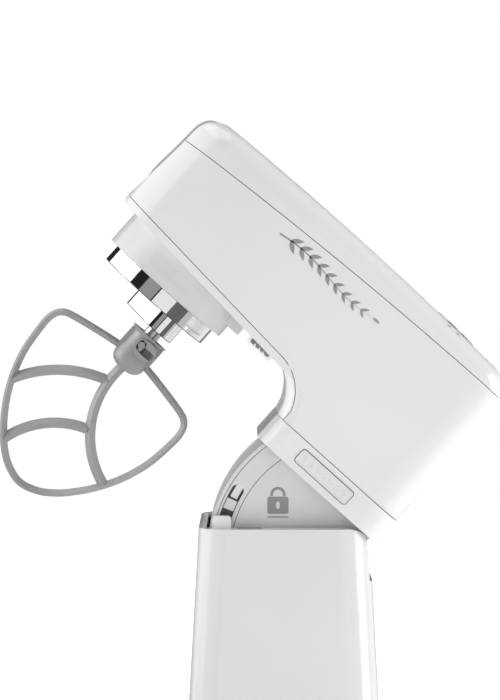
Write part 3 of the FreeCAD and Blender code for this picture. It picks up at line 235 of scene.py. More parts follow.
def dress(material, *names):
    """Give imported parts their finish."""
    for name in names:
        slots = frame["nodes"][name].data.materials
        slots.clear()
        slots.append(material)


white_lacquer = surface("white_lacquer", LACQUER_LIGHT, LACQUER_DARK, LACQUER_SHINE,
                        LACQUER_GRAIN, LACQUER_RIPPLE, Coat_Weight=0.25, Coat_Roughness=0.04)
dress(white_lacquer, "head_top_cover", "head_lower_shell")
# The column and foot take a darker copy of the head's lacquer: painted shade for the shade they
# stand in, not a different plastic.
dress(surface("base_lacquer_painted_shade", (0.74, 0.74, 0.738), (0.725, 0.725, 0.723), LACQUER_SHINE,
              LACQUER_GRAIN, LACQUER_RIPPLE, Coat_Weight=0.15, Coat_Roughness=0.06),
      "base_housing")

# ------------------------------------------------------- white inner mouldings
# Underside cover, drum, collar and its lip: the same plastic with a slightly
# softer gloss, snapped into the head from below.
white_satin = surface("white_satin", (0.82, 0.82, 0.82), (0.80, 0.80, 0.80), (0.22, 0.3),
                      900, 0.00002)
dress(white_satin, "underside_cover", "neck_band", "stop_blocks",
      "release_button", "catch_plates")
# The drum takes a darker copy of the white satin: painted shade for the shade on the drum under
# the head.
dress(surface("drum_satin_painted_shade", (0.70, 0.70, 0.705), (0.66, 0.66, 0.665), (0.2, 0.28),
              900, 0.00002), "hub_skirt")

# --------------------------------------------------------------- side motif
# A leafy sprig printed in silver ink on both flanks of the head, a hair
# proud of the lacquer. Stem and leaves are flat shapes cut like a stencil.
SPRIG_FRONT, SPRIG_REAR, SPRIG_HEIGHT = -190.0, -99.0, 139.5
SPRIG_SWAY = 2.2
STEM_HALF, STEM_TAPER, STEM_STEPS = 0.55, 1.1, 40
LEAF_COUNT = 9
LEAF_LONG, LEAF_HALF = 10.5, 1.75
LEAF_LEAN = 36
LEAF_FULL, LEAF_STEPS = 0.8, 8
LEAF_START, LEAF_REACH, LEAF_SHRINK = 0.10, 0.86, 0.45
TIP_AT, TIP_SIZE = 0.98, 0.6
INK_SINK, INK_THICK = 0.05, 0.12
HEAD_SIDE = 59.0
hinge = next(joint for joint in frame["joints"] if joint["name"] == "head_tilt")
STAND = Matrix.Translation(hinge["pos_m"]) @ Matrix.Scale(0.001, 4)
HEAD = STAND @ Matrix.Rotation(-HEAD_TILT, 4, "X")
silver_ink = surface("silver_ink", (0.40, 0.40, 0.41), (0.34, 0.34, 0.35), (0.3, 0.42), 2400,
                     0.00001, Metallic=0.35)


def add_piece(name, form, material, body, place=HEAD, crease=35):
    """Turn a bmesh drawn in millimetres from the hinge into a piece on its body."""
    bmesh.ops.transform(form, matrix=place, verts=form.verts)
    bmesh.ops.recalc_face_normals(form, faces=form.faces)
    mesh = bpy.data.meshes.new(name)
    form.to_mesh(mesh)
    form.free()
    mesh.shade_smooth()
    mesh.set_sharp_from_angle(angle=math.radians(crease))
    mesh.materials.append(material)
    piece = bpy.data.objects.new(name, mesh)
    bpy.context.scene.collection.objects.link(piece)
    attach(piece, body)
    return piece


def plate(form, outline, low, high):
    """Add a flat prism: an outline of (y, z) corners between two x heights."""
    floor_corners = [form.verts.new((low, y, z)) for y, z in outline]
    roof_corners = [form.verts.new((high, y, z)) for y, z in outline]
    form.faces.new(floor_corners)
    form.faces.new(roof_corners)
    for index in range(len(outline)):
        after = (index + 1) % len(outline)
        form.faces.new((floor_corners[index], floor_corners[after],
                        roof_corners[after], roof_corners[index]))


def sprig_line(share):
    """Give a point on the stem, from its root at 0 to its tip at 1."""
    return (SPRIG_FRONT + (SPRIG_REAR - SPRIG_FRONT) * share,
            SPRIG_HEIGHT + SPRIG_SWAY * math.sin(math.tau * share))


def leaf(root, degrees, long, half):
    """Give the almond outline of one leaf."""
    angle = math.radians(degrees)
    along = Vector((math.cos(angle), math.sin(angle)))
    aside = Vector((-along.y, along.x))
    steps = [index / LEAF_STEPS for index in range(LEAF_STEPS + 1)]
    bulge = [math.sin(math.pi * step ** LEAF_FULL) * half for step in steps]
    upper = [Vector(root) + along * step * long + aside * width
             for step, width in zip(steps, bulge)]
    lower = [Vector(root) + along * step * long - aside * width
             for step, width in zip(steps, bulge)]
    return upper + lower[-2:0:-1]


for side, hand in ((1, "right"), (-1, "left")):
    form = bmesh.new()
    skin, top = side * (HEAD_SIDE - INK_SINK), side * (HEAD_SIDE + INK_THICK)
    steps = [index / STEM_STEPS for index in range(STEM_STEPS + 1)]
    stem = [sprig_line(step) for step in steps]
    widths = [STEM_HALF * (STEM_TAPER - step) for step in steps]
    plate(form, [(y, z + width) for (y, z), width in zip(stem, widths)]
          + [(y, z - width) for (y, z), width in reversed(list(zip(stem, widths)))], skin, top)
    for number in range(LEAF_COUNT):
        share = LEAF_START + LEAF_REACH * number / LEAF_COUNT
        size = 1.0 - LEAF_SHRINK * share
        root = sprig_line(share)
        for turn in (-1, 1):
            plate(form, leaf(root, turn * LEAF_LEAN, LEAF_LONG * size, LEAF_HALF * size),
                  skin, top)
    plate(form, leaf(sprig_line(TIP_AT), 0, LEAF_LONG * TIP_SIZE, LEAF_HALF * TIP_SIZE), skin, top)
    add_piece("side_sprig_" + hand, form, silver_ink, "head")

# ------------------------------------------------------ painted shadow in the seams
# Black strips lie just under the skin where the shells meet: painted shadow, so
# that the seams on both flanks read as fine dark lines.
SEAM_SPREAD = 0.75
SEAM_DEEP = (58.35, 58.75)
LOW_SEAM = ((-250.0, 85.9), (-128.0, 75.55))
COLLAR_SEAM, COLLAR_SEAM_Z = (-92.0, -17.0), 42.75
seam_painted_shadow = surface("seam_shadow_black", (0.10, 0.10, 0.10), (0.06, 0.06, 0.06), (0.6, 0.8), 1500,
                     0.00003)


def ribbon(line, half):
    """Give the outline of a band of even width round a line of (y, z) points."""
    upper, lower = [], []
    for index, point in enumerate(line):
        before = Vector(line[max(index - 1, 0)])
        after = Vector(line[min(index + 1, len(line) - 1)])
        along = (after - before).normalized()
        aside = Vector((-along.y, along.x)) * half
        upper.append(tuple(Vector(point) + aside))
        lower.append(tuple(Vector(point) - aside))
    return upper + lower[::-1]


for side, hand in ((1, "right"), (-1, "left")):
    form = bmesh.new()
    low_x, high_x = [side * deep for deep in SEAM_DEEP]
    plate(form, ribbon(LOW_SEAM, SEAM_SPREAD), low_x, high_x)
    plate(form, ribbon([(COLLAR_SEAM[0], COLLAR_SEAM_Z), (COLLAR_SEAM[1], COLLAR_SEAM_Z)],
                       SEAM_SPREAD), low_x, high_x)
    add_piece("seam_shadow_strips_" + hand, form, seam_painted_shadow, "head")

# -------------------------------------------------------- drum of the drive
# A shallow window on each side of the drum is outlined by a fine groove that
# follows the round wall, drawn as a thin strip darker than the drum: painted shade.
DRUM_Y, DRUM_RADIUS = -226.0, 53.0
PANEL_Y, PANEL_Z = (-246.0, -200.0), (63.0, 71.5)
GROOVE = 0.5
GROOVE_SINK, GROOVE_PROUD = 0.1, 0.04
GROOVE_STEPS = 12
drum_groove_shade = surface("drum_groove_shade", (0.62, 0.62, 0.625), (0.58, 0.58, 0.585), (0.3, 0.4), 900,
                      0.00002)
for side, hand in ((1, "right"), (-1, "left")):
    form = bmesh.new()
    turns = [math.asin((edge - DRUM_Y) / DRUM_RADIUS) for edge in PANEL_Y]
    bands = [(turns[0], turns[1], PANEL_Z[0], PANEL_Z[0] + GROOVE),
             (turns[0], turns[1], PANEL_Z[1] - GROOVE, PANEL_Z[1]),
             (turns[0], turns[0] + GROOVE / DRUM_RADIUS, *PANEL_Z),
             (turns[1] - GROOVE / DRUM_RADIUS, turns[1], *PANEL_Z)]
    for first, last, low_z, high_z in bands:
        rows = []
        for radius in (DRUM_RADIUS - GROOVE_SINK, DRUM_RADIUS + GROOVE_PROUD):
            for height in (low_z, high_z):
                angles = [first + (last - first) * step / GROOVE_STEPS
                          for step in range(GROOVE_STEPS + 1)]
                rows.append([form.verts.new((side * radius * math.cos(angle),
                                             DRUM_Y + radius * math.sin(angle), height))
                             for angle in angles])
        inner_low, inner_high, outer_low, outer_high = rows
        for one, two in ((inner_low, inner_high), (outer_low, outer_high),
                         (inner_low, outer_low), (inner_high, outer_high)):
            for step in range(GROOVE_STEPS):
                form.faces.new((one[step], one[step + 1], two[step + 1], two[step]))
        for step in (0, GROOVE_STEPS):
            form.faces.new((inner_low[step], inner_high[step], outer_high[step],
                            outer_low[step]))
    add_piece("drum_panel_shade_" + hand, form, drum_groove_shade, "head")

# ------------------------------------------------------------- collar badge
# A plated bar let into each side of the collar, with a row of raised lozenges
# cast on it. A black ring round it is painted shadow for the gap at its pocket.
BADGE_SIZE = ((-75.0, -27.0), (26.8, 37.7))
BADGE_FACE = 60.5
BADGE_CORNER = 2.2
BADGE_SINK = 0.1
SHADOW_RING_WIDE, SHADOW_RING_PROUD = 0.55, 0.12
RIM_OUTER, RIM_INNER = 0.25, 0.85
ROW_MARGIN = 2.5
LOZENGE_COUNT = 7
LOZENGE_HALF = (2.3, 3.1)
LOZENGE_HOLLOW = 0.55
RELIEF, RELIEF_EDGE = 0.4, 0.00012
COLLAR_FACE = 59.6
satin_chrome = surface("satin_chrome", (0.86, 0.86, 0.86), (0.80, 0.80, 0.81), (0.18, 0.26),
                       1500, 0.000003, Metallic=0.25)
dress(satin_chrome, "badge_plates", "neck_lip")
# Black for the dial's pointer and the lamp chips, and as painted shadow in gaps, grooves and
# slots.
black_marks_and_painted_shadow = surface("black_marks_and_painted_shadow", (0.09, 0.09, 0.095), (0.06, 0.06, 0.065), (0.5, 0.7), 1500,
                     0.00003)


def rounded_box(centre, half, corner, steps=6):
    """Give the outline of a rounded rectangle, anticlockwise."""
    corners = []
    for quarter, (sign_y, sign_z) in enumerate(((1, 1), (-1, 1), (-1, -1), (1, -1))):
        middle = (centre[0] + sign_y * (half[0] - corner), centre[1] + sign_z * (half[1] - corner))
        for step in range(steps + 1):
            angle = math.radians(90 * quarter + 90 * step / steps)
            corners.append((middle[0] + corner * math.cos(angle),
                            middle[1] + corner * math.sin(angle)))
    return corners


def frame_plate(form, outer, inner, low, high):
    """Add a flat ring between two outlines with the same number of corners."""
    count = len(outer)
    rings = [[form.verts.new((x, y, z)) for y, z in outline]
             for x, outline in ((low, outer), (high, outer), (high, inner), (low, inner))]
    for ring, following in zip(rings, rings[1:] + rings[:1]):
        for index in range(count):
            after = (index + 1) % count
            form.faces.new((ring[index], ring[after], following[after], following[index]))


badge_centre = [(low + high) / 2 for low, high in BADGE_SIZE]
badge_half = [(high - low) / 2 for low, high in BADGE_SIZE]
for side, hand in ((1, "right"), (-1, "left")):
    form = bmesh.new()
    frame_plate(form, rounded_box(badge_centre, [half + SHADOW_RING_WIDE for half in badge_half],
                                  BADGE_CORNER + SHADOW_RING_WIDE),
                rounded_box(badge_centre, badge_half, BADGE_CORNER),
                side * (COLLAR_FACE - BADGE_SINK), side * (COLLAR_FACE + SHADOW_RING_PROUD))
    add_piece("badge_shadow_ring_" + hand, form, black_marks_and_painted_shadow, "head")
    form = bmesh.new()
    low_x, high_x = side * (BADGE_FACE - BADGE_SINK), side * (BADGE_FACE + RELIEF)
    frame_plate(form, rounded_box(badge_centre, [half - RIM_OUTER for half in badge_half],
                                  BADGE_CORNER - RIM_OUTER),
                rounded_box(badge_centre, [half - RIM_INNER for half in badge_half],
                            BADGE_CORNER - RIM_INNER), low_x, high_x)
    pitch = 2 * (badge_half[0] - ROW_MARGIN) / LOZENGE_COUNT
    for number in range(LOZENGE_COUNT):
        middle = badge_centre[0] + pitch * (number - (LOZENGE_COUNT - 1) / 2)
        long, tall = LOZENGE_HALF
        diamond = [(middle + long, badge_centre[1]), (middle, badge_centre[1] + tall),
                   (middle - long, badge_centre[1]), (middle, badge_centre[1] - tall)]
        small = [(middle + (y - middle) * LOZENGE_HOLLOW,
                  badge_centre[1] + (z - badge_centre[1]) * LOZENGE_HOLLOW) for y, z in diamond]
        frame_plate(form, diamond, small, low_x, high_x)
    relief = add_piece("badge_relief_" + hand, form, satin_chrome, "head")
    edge = relief.modifiers.new("worn_edges", "BEVEL")
    edge.width = RELIEF_EDGE
    edge.segments = 2

# ------------------------------------------------------------ quadrant cover
# Grey-white moulding that fills the gap under the raised head. Two fine grooves follow its rim as
# dark strips of painted shade, and a padlock is printed on it for the head lock.
COVER_FACE = 46.5
GROOVES = (97.3, 83.5)
GROOVE_WIDE = 0.45
GROOVE_SPAN = (-14, 78)
GROOVE_SKIN = (-0.1, 0.05)
PADLOCK_CENTRE = (-49.0, 36.5)
PADLOCK_HALF, PADLOCK_CORNER = (7.6, 6.2), 1.6
SHACKLE_RADIUS, SHACKLE_BAR = 5.4, 1.9
SHACKLE_RISE, SHACKLE_FOOT = 1.6, 0.5
SHACKLE_STEPS = 18
KEYHOLE_HALF, KEYHOLE_CORNER = (1.3, 2.6), 1.25
BAR_DROP, BAR_HALF, BAR_CORNER = 2.2, 0.45, 0.4
pale_grey = surface("pale_grey_moulding", (0.74, 0.74, 0.75), (0.70, 0.70, 0.715),
                    (0.28, 0.36), 1100, 0.00003)
dress(pale_grey, "quadrant_sides", "quadrant_front")
lock_ink = surface("lock_ink", (0.30, 0.30, 0.31), (0.26, 0.26, 0.27), (0.4, 0.55), 2400, 0.00001)


def arc_line(radius, span, steps=48):
    """Give points on an arc round the hinge; angles run down from the front."""
    low_angle, high_angle = span
    angles = [math.radians(low_angle + (high_angle - low_angle) * step / steps)
              for step in range(steps + 1)]
    return [(-radius * math.cos(angle), -radius * math.sin(angle)) for angle in angles]


for side, hand in ((1, "right"), (-1, "left")):
    form = bmesh.new()
    for radius in GROOVES:
        plate(form, arc_line(radius + GROOVE_WIDE / 2, GROOVE_SPAN)
              + arc_line(radius - GROOVE_WIDE / 2, GROOVE_SPAN)[::-1],
              side * (COVER_FACE + GROOVE_SKIN[0]), side * (COVER_FACE + GROOVE_SKIN[1]))
    add_piece("quadrant_groove_shade_" + hand, form, black_marks_and_painted_shadow, "head")

    form = bmesh.new()
    skin, top = side * (COVER_FACE - INK_SINK), side * (COVER_FACE + INK_THICK)
    shackle_z = PADLOCK_CENTRE[1] + PADLOCK_HALF[1] + SHACKLE_RISE
    bends = [math.radians(180 * step / SHACKLE_STEPS) for step in range(SHACKLE_STEPS + 1)]
    outer = [(PADLOCK_CENTRE[0] + SHACKLE_RADIUS * math.cos(bend),
              shackle_z + SHACKLE_RADIUS * math.sin(bend)) for bend in bends]
    inner_radius = SHACKLE_RADIUS - SHACKLE_BAR
    inner = [(PADLOCK_CENTRE[0] + inner_radius * math.cos(bend),
              shackle_z + inner_radius * math.sin(bend)) for bend in reversed(bends)]
    foot = PADLOCK_CENTRE[1] + PADLOCK_HALF[1] + SHACKLE_FOOT
    plate(form, [(outer[0][0], foot)] + outer + [(outer[-1][0], foot), (inner[0][0], foot)]
          + inner + [(inner[-1][0], foot)], skin, top)
    frame_plate(form, rounded_box(PADLOCK_CENTRE, PADLOCK_HALF, PADLOCK_CORNER),
                rounded_box(PADLOCK_CENTRE, KEYHOLE_HALF, KEYHOLE_CORNER), skin, top)
    plate(form, rounded_box((PADLOCK_CENTRE[0], PADLOCK_CENTRE[1] - PADLOCK_HALF[1] - BAR_DROP),
                            (PADLOCK_HALF[0], BAR_HALF), BAR_CORNER), skin, top)
    add_piece("padlock_print_" + hand, form, lock_ink, "head", place=STAND)

# --------------------------------------------------------- tongue in the slot
# White nylon tongue at the top of each curved slot, where the lock bolt
# lands with the head raised, and a grey slide below it. A black plate behind
# both is painted shadow, for the dark gap of the slot round them.
SLOT_RADIUS = 91.0
SLOT_SHADOW_SPAN, SLOT_SHADOW_HALF, SLOT_SHADOW_X = (8.5, 23.0), 4.4, (44.1, 44.9)
TONGUE_SPAN, TONGUE_HALF, TONGUE_X = (9.0, 14.6), 2.6, (44.7, 46.3)
SLIDE_SPAN, SLIDE_HALF, SLIDE_X = (15.6, 20.5), 3.9, (44.7, 45.9)
TONGUE_EDGE = 0.0004
SLOT_STEPS, SLIDE_STEPS, CAP_TURN = 12, 8, 15
gear_nylon = surface("gear_nylon", (0.84, 0.83, 0.79), (0.78, 0.77, 0.73), (0.35, 0.5), 1200,
                     0.00003, Subsurface_Weight=0.05)


def slot_outline(span, half):
    """Give a curved bar with a round upper end, along the slot's middle line."""
    angle = math.radians(span[0])
    middle = Vector((-SLOT_RADIUS * math.cos(angle), -SLOT_RADIUS * math.sin(angle)))
    outward = middle.normalized()
    upward = Vector((outward.y, -outward.x))
    cap = [middle + half * (outward * math.cos(math.radians(step)) +
                            upward * math.sin(math.radians(step)))
           for step in range(0, 181, CAP_TURN)]
    return (arc_line(SLOT_RADIUS + half, span, SLOT_STEPS)[::-1]
            + [tuple(point) for point in cap[1:-1]]
            + arc_line(SLOT_RADIUS - half, span, SLOT_STEPS))


for side, hand in ((1, "right"), (-1, "left")):
    form = bmesh.new()
    plate(form, slot_outline(SLOT_SHADOW_SPAN, SLOT_SHADOW_HALF), side * SLOT_SHADOW_X[0], side * SLOT_SHADOW_X[1])
    add_piece("slot_painted_shadow_" + hand, form, black_marks_and_painted_shadow, "head")
    form = bmesh.new()
    plate(form, slot_outline(TONGUE_SPAN, TONGUE_HALF), side * TONGUE_X[0], side * TONGUE_X[1])
    tongue = add_piece("slot_tongue_" + hand, form, gear_nylon, "head")
    edge = tongue.modifiers.new("soft_edges", "BEVEL")
    edge.width = TONGUE_EDGE
    edge.segments = 3
    form = bmesh.new()
    plate(form, arc_line(SLOT_RADIUS + SLIDE_HALF, SLIDE_SPAN, SLIDE_STEPS)
          + arc_line(SLOT_RADIUS - SLIDE_HALF, SLIDE_SPAN, SLIDE_STEPS)[::-1],
          side * SLIDE_X[0], side * SLIDE_X[1])
    add_piece("slot_slide_" + hand, form, pale_grey, "head")

# ------------------------------------------------------- column roof and lock
# A white sill closes the column's roof in front of the quadrant. Behind the
# release button sits a coil spring of steel wire.
SILL_Y, SILL_Z, SILL_HALF = (-103.5, -100.5), (17.9, 20.75), 47.9
SILL_EDGE = 0.5
LOCK_AT = (-78.81, -45.5)
SPRING_X, SPRING_RADIUS, WIRE = (-55.6, -51.6), 4.7, 0.45
SPRING_TURNS, TURN_STEPS, WIRE_SIDES = 4, 24, 8
form = bmesh.new()
plate(form, [(SILL_Y[0], SILL_Z[0]), (SILL_Y[1], SILL_Z[0]), (SILL_Y[1], SILL_Z[1] - SILL_EDGE),
             (SILL_Y[1] - SILL_EDGE, SILL_Z[1]), (SILL_Y[0], SILL_Z[1])], -SILL_HALF, SILL_HALF)
add_piece("column_sill", form, white_satin, "base", place=STAND)
form = bmesh.new()
rings = []
for step in range(SPRING_TURNS * TURN_STEPS + 1):
    share = step / (SPRING_TURNS * TURN_STEPS)
    angle = math.tau * SPRING_TURNS * share
    outward = Vector((0, math.cos(angle), math.sin(angle)))
    middle = Vector((SPRING_X[0] + (SPRING_X[1] - SPRING_X[0]) * share, *LOCK_AT))
    middle += SPRING_RADIUS * outward
    turns = [math.tau * side / WIRE_SIDES for side in range(WIRE_SIDES)]
    rings.append([form.verts.new(middle + WIRE * (outward * math.cos(turn)
                                                  + Vector((math.sin(turn), 0, 0))))
                  for turn in turns])
for ring, following in zip(rings, rings[1:]):
    for side in range(WIRE_SIDES):
        after = (side + 1) % WIRE_SIDES
        form.faces.new((ring[side], ring[after], following[after], following[side]))
form.faces.new(rings[0])
form.faces.new(rings[-1][::-1])
spring_steel = surface("spring_steel", (0.55, 0.55, 0.56), (0.45, 0.45, 0.46), (0.25, 0.4),
                       1500, 0.00001, Metallic=1.0)
spring = add_piece("lock_coil_spring", form, spring_steel, "base", place=STAND)
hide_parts("lock_spring")
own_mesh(spring)

# ------------------------------------------------------------------- chrome
# Planet carrier, port ring, dial and bowl plate: polished plating with traces
# of handling. The carrier's lower rims are rolled; their dark chrome is painted reflection, drawn
# as a dark line.
BEAD = 0.32
DISC_RADIUS, DISC_LOW = 46.4, 42.25
BOSS_RADIUS, BOSS_LOW = 13.6, 28.25
DISC_STEPS, BOSS_STEPS = 96, 24
mirror_chrome = surface("mirror_chrome", (0.92, 0.92, 0.93), (0.86, 0.86, 0.88), (0.03, 0.09),
                        260, 0.000004, Metallic=1.0)
dress(mirror_chrome, "planet_carrier", "port_ring")
painted_reflection_chrome = surface("painted_reflection_chrome", (0.20, 0.20, 0.21), (0.14, 0.14, 0.15), (0.2, 0.3), 260,
                      0.000004, Metallic=0.8)


def bead(form, line, radius, sides=8):
    """Lay a round bead along a closed line of points level with the drive."""
    rings = []
    for index, point in enumerate(line):
        along = (line[(index + 1) % len(line)] - line[index - 1]).normalized()
        aside = Vector((along.y, -along.x, 0))
        rings.append([form.verts.new(
            point + radius * (aside * math.cos(math.tau * side / sides)
                              + Vector((0, 0, math.sin(math.tau * side / sides)))))
            for side in range(sides)])
    for ring, following in zip(rings, rings[1:] + rings[:1]):
        for side in range(sides):
            after = (side + 1) % sides
            form.faces.new((ring[side], ring[after], following[after], following[side]))


def level_arc(centre, radius, height, angles):
    """Give points at even height round an upright axis."""
    return [centre + Vector((radius * math.cos(angle), radius * math.sin(angle), height))
            for angle in angles]


DRIVE = Vector((0, -226.0, 0))
ORBIT = Vector((27.71, 16.0, 0))
lead = math.atan2(ORBIT.y, ORBIT.x)
form = bmesh.new()
bead(form, level_arc(DRIVE, DISC_RADIUS, DISC_LOW,
                     [math.tau * step / DISC_STEPS for step in range(DISC_STEPS)]), BEAD)
half_turn = [math.pi * step / BOSS_STEPS - math.pi / 2 for step in range(BOSS_STEPS + 1)]
boss_line = level_arc(DRIVE + ORBIT, BOSS_RADIUS, BOSS_LOW, [lead + angle for angle in half_turn])
boss_line += level_arc(DRIVE, BOSS_RADIUS, BOSS_LOW,
                       [lead + math.pi + angle for angle in half_turn])
bead(form, boss_line, BEAD)
add_piece("carrier_rim_dark_reflection", form, painted_reflection_chrome, "carrier")
brushed_chrome = surface("brushed_chrome", (0.78, 0.78, 0.79), (0.70, 0.70, 0.72), (0.18, 0.32),
                         700, 0.00001, stretch=(1, 0.05, 1), Metallic=1.0)
dress(brushed_chrome, "bowl_plate", "dial_bezel", "speed_dial")

# -------------------------------------------------------------- front cover
# Flip-up cover over the front drive, pressed from thin aluminium and
# satin-sprayed in a light grey. It thins and lies flatter towards both ends.
COVER_GAP, COVER_THICK = 0.5, 1.9
FLAT_GAP, FLAT_THICK = 0.12, 0.3
COVER_LOW, COVER_FULL = 106.0, 117.0
COVER_BEND = 150.0
COVER_END, COVER_START = -275.5, -283.6
LONG_EDGE, LONG_CUTS = 0.006, 6
cover_spray = surface("cover_spray", (0.66, 0.66, 0.67), (0.60, 0.60, 0.61), (0.25, 0.35), 2000,
                      0.00002, Metallic=0.2)


def shell_tree(*names):
    """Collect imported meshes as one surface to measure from."""
    corners, faces = [], []
    for name in names:
        node = frame["nodes"][name]
        start = len(corners)
        corners += [node.matrix_world @ vertex.co for vertex in node.data.vertices]
        faces += [[start + index for index in face.vertices] for face in node.data.polygons]
    return BVHTree.FromPolygons(corners, faces)


def cover_fullness(place):
    """Tell how thick the pressing is at a place, from 0 at its ends to 1."""
    low_share = (place.z - COVER_LOW) / (COVER_FULL - COVER_LOW)
    high_share = 1.0
    if place.z > COVER_BEND:
        high_share = (COVER_END - place.y) / (COVER_END - COVER_START)
    share = min(max(min(low_share, high_share), 0), 1)
    return share * share * (3 - 2 * share)


skin_tree = shell_tree("head_top_cover", "head_lower_shell")
packed_cover = frame["nodes"]["front_cover"]
form = bmesh.new()
form.from_mesh(packed_cover.data)
bmesh.ops.transform(form, matrix=packed_cover.matrix_world, verts=form.verts)
long_edges = [edge for edge in form.edges if edge.calc_length() > LONG_EDGE]
bmesh.ops.subdivide_edges(form, edges=long_edges, cuts=LONG_CUTS, use_grid_fill=True)
to_shut = HEAD.inverted()
for vertex in form.verts:
    nearest = skin_tree.find_nearest(vertex.co)
    ground, distance = nearest[0], nearest[3]
    share = cover_fullness(to_shut @ vertex.co)
    layer = (distance * 1000 - COVER_GAP) / COVER_THICK
    gap = FLAT_GAP + (COVER_GAP - FLAT_GAP) * share
    thick = FLAT_THICK + (COVER_THICK - FLAT_THICK) * share
    vertex.co = ground + (vertex.co - ground).normalized() * (gap + thick * layer) / 1000
cover = add_piece("front_cover_pressing", form, cover_spray, "flap",
                  place=Matrix.Identity(4))
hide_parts("front_cover")

# ----------------------------------------------------------- turned steel
# Shafts, pins, bearings, screws and the motor can: bright machined
# steel with fine turning marks round it.
turned_steel = surface("turned_steel", (0.62, 0.62, 0.63), (0.52, 0.52, 0.54), (0.2, 0.38),
                       1500, 0.00001, stretch=(0.2, 1, 1), Metallic=1.0)
dress(turned_steel, "bottom_screws", "bowl_plate_screws", "hinge_pin", "pin_clips",
      "lock_bolt", "main_bearings", "head_screws", "carrier_shaft",
      "bevel_gear", "beater_spindle", "bayonet_pin", "layshaft", "motor_pulley",
      "motor_can", "motor_shaft", "port_socket")

# ------------------------------------------------------------- flat beater
# One aluminium casting: a leaf-shaped loop with three curved ribs, each bar
# ridged down its middle, on a barrel hub with a bayonet window at its side.
SPINDLE = (27.71, -210.0)
LOOP_SECTION = ((0, -1.6), (0, 1.6), (1.7, 4.8), (2.3, 4.9), (5.0, 1.3), (5.0, -1.3),
                (2.3, -4.9), (1.7, -4.8))
RIB_SECTION = ((-3.7, -1.0), (-3.7, 1.0), (-0.5, 4.6), (0.1, 4.6), (3.7, 1.0), (3.7, -1.0),
               (0.1, -4.6), (-0.5, -4.6))
LOOP_LINE = ((10.0, 6.0), (23.0, 4.1), (38.0, 1.4), (53.0, -1.7), (59.6, -4.4), (63.8, -9.0),
             (65.8, -15.5), (66.0, -24.0), (63.7, -45.0), (58.9, -62.0), (52.7, -76.0),
             (45.4, -88.2), (37.1, -99.1), (27.5, -109.3), (15.1, -118.0), (0.0, -122.2))
RIBS = (((-0.2, -6.0), (7.1, -48.0), (48.0, -81.0)),
        ((0.0, -21.6), (-26.9, -35.1), (-54.0, -67.5)),
        ((11.5, -58.0), (-15.0, -76.0), (-29.5, -104.0)))
BORE_RADIUS, BORE_FLOOR, BORE_CUT = 6.35, -6.4, 30
HUB_PROFILE = ((0, BORE_FLOOR), (BORE_RADIUS, BORE_FLOOR), (BORE_RADIUS, 22.0), (14.9, 22.0),
               (15.0, 21.4), (13.4, 20.6), (12.4, 19.2), (12.0, 15.0), (12.3, 8.0), (13.2, 2.0),
               (13.1, -1.5), (11.9, -4.6), (9.3, -7.0), (6.2, -8.3), (0, -8.6))
HUB_STEPS = 64
WINDOW_SEAT = ((0.0, 12.4), (0.0, 15.0), 2.95)
WINDOW_WAY = ((2.0, 11.6), (10.0, 11.6), 2.8)
WINDOW_BOSS = ((4.0, 12.4), (9.2, 7.2))
BOSS_DEEP, CUT_DEEP, OVAL_STEPS = (7, 13.9), (5, 20), 48
WING_UP, WING_HALF, WING_CORNER, WING_DEEP = 12.2, (14.3, 8.6), 1.2, 4.6
RIB_STEPS = 26
CAST_EDGE, CAST_ANGLE = 0.0003, 28
beater_metal = surface("beater_metal", (0.40, 0.40, 0.40), (0.35, 0.35, 0.355), (0.46, 0.56),
                       900, 0.000003, Metallic=0.3)


def arc_through(first, middle, last, steps):
    """Give points on the circle through three points, from the first to the last."""
    a, b, c = Vector(first), Vector(middle), Vector(last)
    double = 2 * ((a.x - c.x) * (b.y - c.y) - (b.x - c.x) * (a.y - c.y))
    ka, kb, kc = a.length_squared, b.length_squared, c.length_squared
    centre = Vector((((ka - kc) * (b.y - c.y) - (kb - kc) * (a.y - c.y)) / double,
                     ((kb - kc) * (a.x - c.x) - (ka - kc) * (b.x - c.x)) / double))
    start = math.atan2(a.y - centre.y, a.x - centre.x)
    half_way = math.atan2(b.y - centre.y, b.x - centre.x)
    end = math.atan2(c.y - centre.y, c.x - centre.x)
    first_part = (half_way - start + math.pi) % math.tau - math.pi
    second_part = (end - half_way + math.pi) % math.tau - math.pi
    radius = (a - centre).length
    angles = [start + (first_part + second_part) * step / steps for step in range(steps + 1)]
    return [centre + radius * Vector((math.cos(angle), math.sin(angle))) for angle in angles]


def sweep(form, path, section):
    """Draw a bar along a path of (across, up) points; a section point is (aside, deep)."""
    rings = []
    for index, point in enumerate(path):
        before = path[max(index - 1, 0)]
        after = path[min(index + 1, len(path) - 1)]
        along = (Vector(after) - Vector(before)).normalized()
        aside = Vector((along.y, -along.x))
        rings.append([form.verts.new((SPINDLE[0] + deep, SPINDLE[1] + point[0] + aside.x * out,
                                      point[1] + aside.y * out)) for out, deep in section])
    size = len(section)
    for ring, following in zip(rings, rings[1:]):
        for index in range(size):
            after = (index + 1) % size
            form.faces.new((ring[index], ring[after], following[after], following[index]))
    form.faces.new(rings[0])
    form.faces.new(rings[-1][::-1])


def lathe(form, profile, centre, steps):
    """Turn a profile of (radius, up) points round an upright axis."""
    rings = []
    for radius, upward in profile:
        if radius == 0:
            rings.append([form.verts.new((centre[0], centre[1], upward))] * steps)
            continue
        rings.append([form.verts.new((centre[0] + radius * math.cos(math.tau * step / steps),
                                      centre[1] + radius * math.sin(math.tau * step / steps),
                                      upward)) for step in range(steps)])
    for ring, following in zip(rings, rings[1:]):
        for step in range(steps):
            after = (step + 1) % steps
            corners = [ring[step], ring[after], following[after], following[step]]
            form.faces.new(list(dict.fromkeys(corners)))


